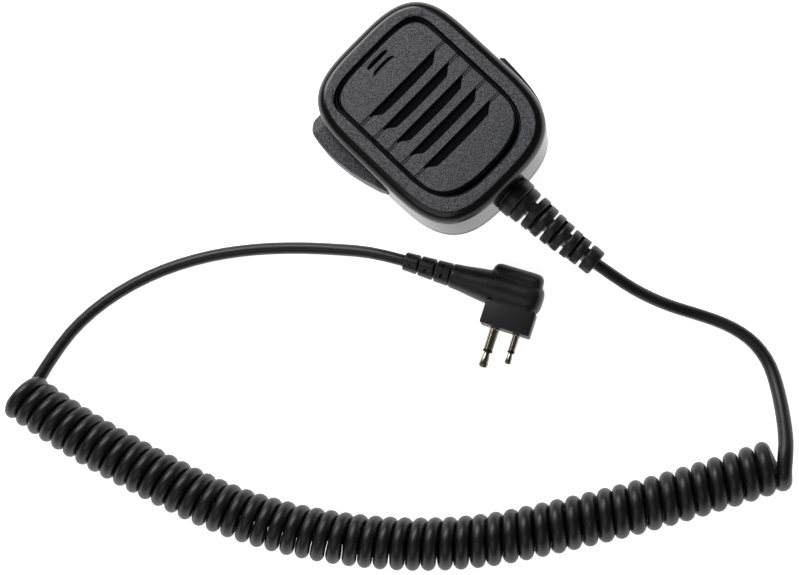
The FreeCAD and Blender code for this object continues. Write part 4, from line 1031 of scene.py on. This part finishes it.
nickel = nickel_plate()
black_acetal = acetal("black_acetal", "#0a0a0a")
for contact, along, radius, length in (("speaker_pin", 38.2, 1.75, 14.7), ("mic_pin", 46.2, 1.25, 11.0)):
    sleeve_end = 0.56 * length
    root = (along, -pin_root, 0)
    sleeve = turned(f"{contact}_barrel", [
        (-0.3, radius + 0.1), (0.0, radius + 0.45), (0.5, radius + 0.45), (0.75, radius + 0.3), (0.9, radius),
        (sleeve_end - 0.1, radius), (sleeve_end, radius - 0.1)], root, pin_way)
    finish(on_plug(sleeve), nickel, "head", [f"{contact}_sleeve"])
    collar_ring = turned(f"{contact}_ring", [
        (sleeve_end - 0.05, radius - 0.3), (sleeve_end, radius - 0.02), (sleeve_end + 0.3, radius + 0.12),
        (sleeve_end + 0.7, radius + 0.02), (sleeve_end + 0.9, radius - 0.45),
        (sleeve_end + 0.95, radius * 0.5)], root, pin_way)
    finish(on_plug(collar_ring), black_acetal, "head", [f"{contact}_insulator"])
    point = sleeve_end + 0.9
    rest = length - point
    tip = turned(f"{contact}_point", [
        (point - 0.1, radius * 0.5), (point, radius * 0.68), (point + 0.14 * rest, radius * 0.68),
        (point + 0.2 * rest, radius * 0.74), (point + 0.86 * rest, radius * 0.99),
        (point + 0.93 * rest, radius * 0.9), (length, radius * 0.66)],
        root, pin_way)
    finish(on_plug(tip), nickel, "head", [f"{contact}_tip"])


# ---- Rear cover ----
# The shallow back tray of the same polished black ABS, closed on a rubber seal. Four pan-head screws in
# counterbores hold it from behind; a fine bead runs round the joint with the front shell.
cover_back_z = 10.0
tray_bend = 2.4
tray_loops = [ring(head_outline, wall, parting_z - 0.02), ring(head_outline, 0.35, parting_z - 0.02),
              ring(head_outline, 0.1, parting_z - 0.12), ring(head_outline, 0.0, parting_z - 0.35)]
for step in range(9):
    angle = math.pi / 2 * step / 8
    tray_loops.append(ring(head_outline, tray_bend * (1 - math.cos(angle)),
                           cover_back_z + tray_bend * (1 - math.sin(angle))))
tray_loops.append(ring(head_outline, 3.2, cover_back_z))
tray_build = bmesh.new()
skin(tray_build, tray_loops)
rear_cover = new_piece("rear_tray", tray_build)
screw_spots = [(axis_x + side * 21.2, y) for side in (1, -1) for y in (29.0, -28.5)]
for x, y in screw_spots:
    carve(rear_cover, turned("counterbore", [(8.0, 2.6), (11.62, 2.6)], (x, y, 0)))
carve(rear_cover, turned("stud_hole", [(8.0, 3.1), (11.0, 3.1)], (axis_x, 6.0, 0)))
# The tray is polished all over: its texture would start far above the head.
finish(rear_cover, eroded_abs("rear_abs", ("#232325", "#37373a"), "#0f0f10", 60.0, 61.0), "head",
       ["rear_cover"])


def zinc_plate(name, light, dark):
    """Zinc-plated steel: a cool soft-edged mirror with a faint spangle."""
    material, tree, output, place = new_material(name)
    spangle = add_node(tree, "ShaderNodeTexVoronoi", values={"Scale": 1 / (0.7 * mm)},
                       links={"Vector": place})
    tint = add_node(tree, "ShaderNodeMix", {"data_type": "RGBA"}, {6: linear(dark), 7: linear(light)},
                    {0: spangle.outputs["Distance"]})
    gloss = add_node(tree, "ShaderNodeMapRange", values={"To Min": 0.28, "To Max": 0.42},
                     links={"Value": spangle.outputs["Distance"]})
    metal = add_node(tree, "ShaderNodeBsdfPrincipled", values={"Metallic": 1.0},
                     links={"Base Color": tint.outputs[2], "Roughness": gloss.outputs[0]})
    tree.links.new(metal.outputs[0], output.inputs["Surface"])
    return material


def cross_screw():
    """One pan-head screw about +Z in metres, its cross recess facing down."""
    head = turned("screw", [(0.0, 1.5), (0.15, 1.95), (0.5, 2.2), (1.35, 2.2), (1.4, 1.2), (9.5, 1.15),
                            (10.4, 0.3)])
    for x, y in ((0.3, 1.3), (1.3, 0.3)):
        carve(head, rounded_block("recess_arm", (-x, -y, -0.5), (x, y, 0.8), 0.08, 1))
    return head


def screw_set(name, screw, spots, z, material):
    """The same screw at several spots of one level."""
    tree, sockets, given = geometry_tree(name, (
        ("Spots", "Geometry"), ("Screw", "Object"), ("Material", "Material")))
    unit = add_node(tree, "GeometryNodeObjectInfo", links={"Object": given["Screw"]})
    placed = add_node(tree, "GeometryNodeInstanceOnPoints", links={"Points": given["Spots"],
                                                                  "Instance": unit.outputs["Geometry"]})
    close_tree(tree, placed.outputs[0], given["Material"])
    mesh = bpy.data.meshes.new(name)
    mesh.from_pydata([Vector((x, y, z)) * mm for x, y in spots], [], [])
    made = link_object(name, mesh)
    change = made.modifiers.new("screws", "NODES")
    change.node_group = tree
    change[sockets["Screw"]] = screw
    change[sockets["Material"]] = material
    bake(made)
    bpy.data.objects.remove(screw)
    return made


zinc = zinc_plate("zinc_plated_steel", "#c9ccd0", "#9fa3a8")
finish(screw_set("cover_screws", cross_screw(), screw_spots, 10.2, zinc), zinc, "head",
       ["housing_screws"])


# ---- Rear clip ----
# A sprung ABS jaw on a base that turns on a steel stud. The parts are moulded, so every edge is eased.
def eased_copy(node, name, width):
    """A copy of a CAD solid with its loose triangles merged and its edges rounded, in millimetres."""
    build = bmesh.new()
    build.from_mesh(nodes[node].data)
    bmesh.ops.remove_doubles(build, verts=build.verts, dist=0.001 * mm)
    bmesh.ops.dissolve_limit(build, angle_limit=math.radians(2), verts=build.verts, edges=build.edges)
    mesh = bpy.data.meshes.new(name)
    build.to_mesh(mesh)
    build.free()
    piece = link_object(name, mesh)
    rounding = piece.modifiers.new("ease", "BEVEL")
    rounding.width = width * mm
    rounding.segments = 2
    rounding.limit_method = "ANGLE"
    rounding.angle_limit = math.radians(40)
    bake(piece)
    return piece


# The clip is eroded all over, its faint speckle painted glints: its texture starts below it.
clip_abs = eroded_abs("clip_abs", ("#1e1e20", "#2c2c2e"), "#161617", -2.0, -1.0, 0.5)
finish(eased_copy("clip_plate", "clip_jaw_plate", 0.45), clip_abs, "clip_jaw", ["clip_plate"])
finish(eased_copy("clip_base", "clip_turntable", 0.3), clip_abs, "clip_turn", ["clip_base"])
for name in ("clip_stud", "clip_screw", "clip_nut", "clip_pin", "clip_spring", "board_screws",
             "clamp_screws"):
    finish(nodes[name], zinc)
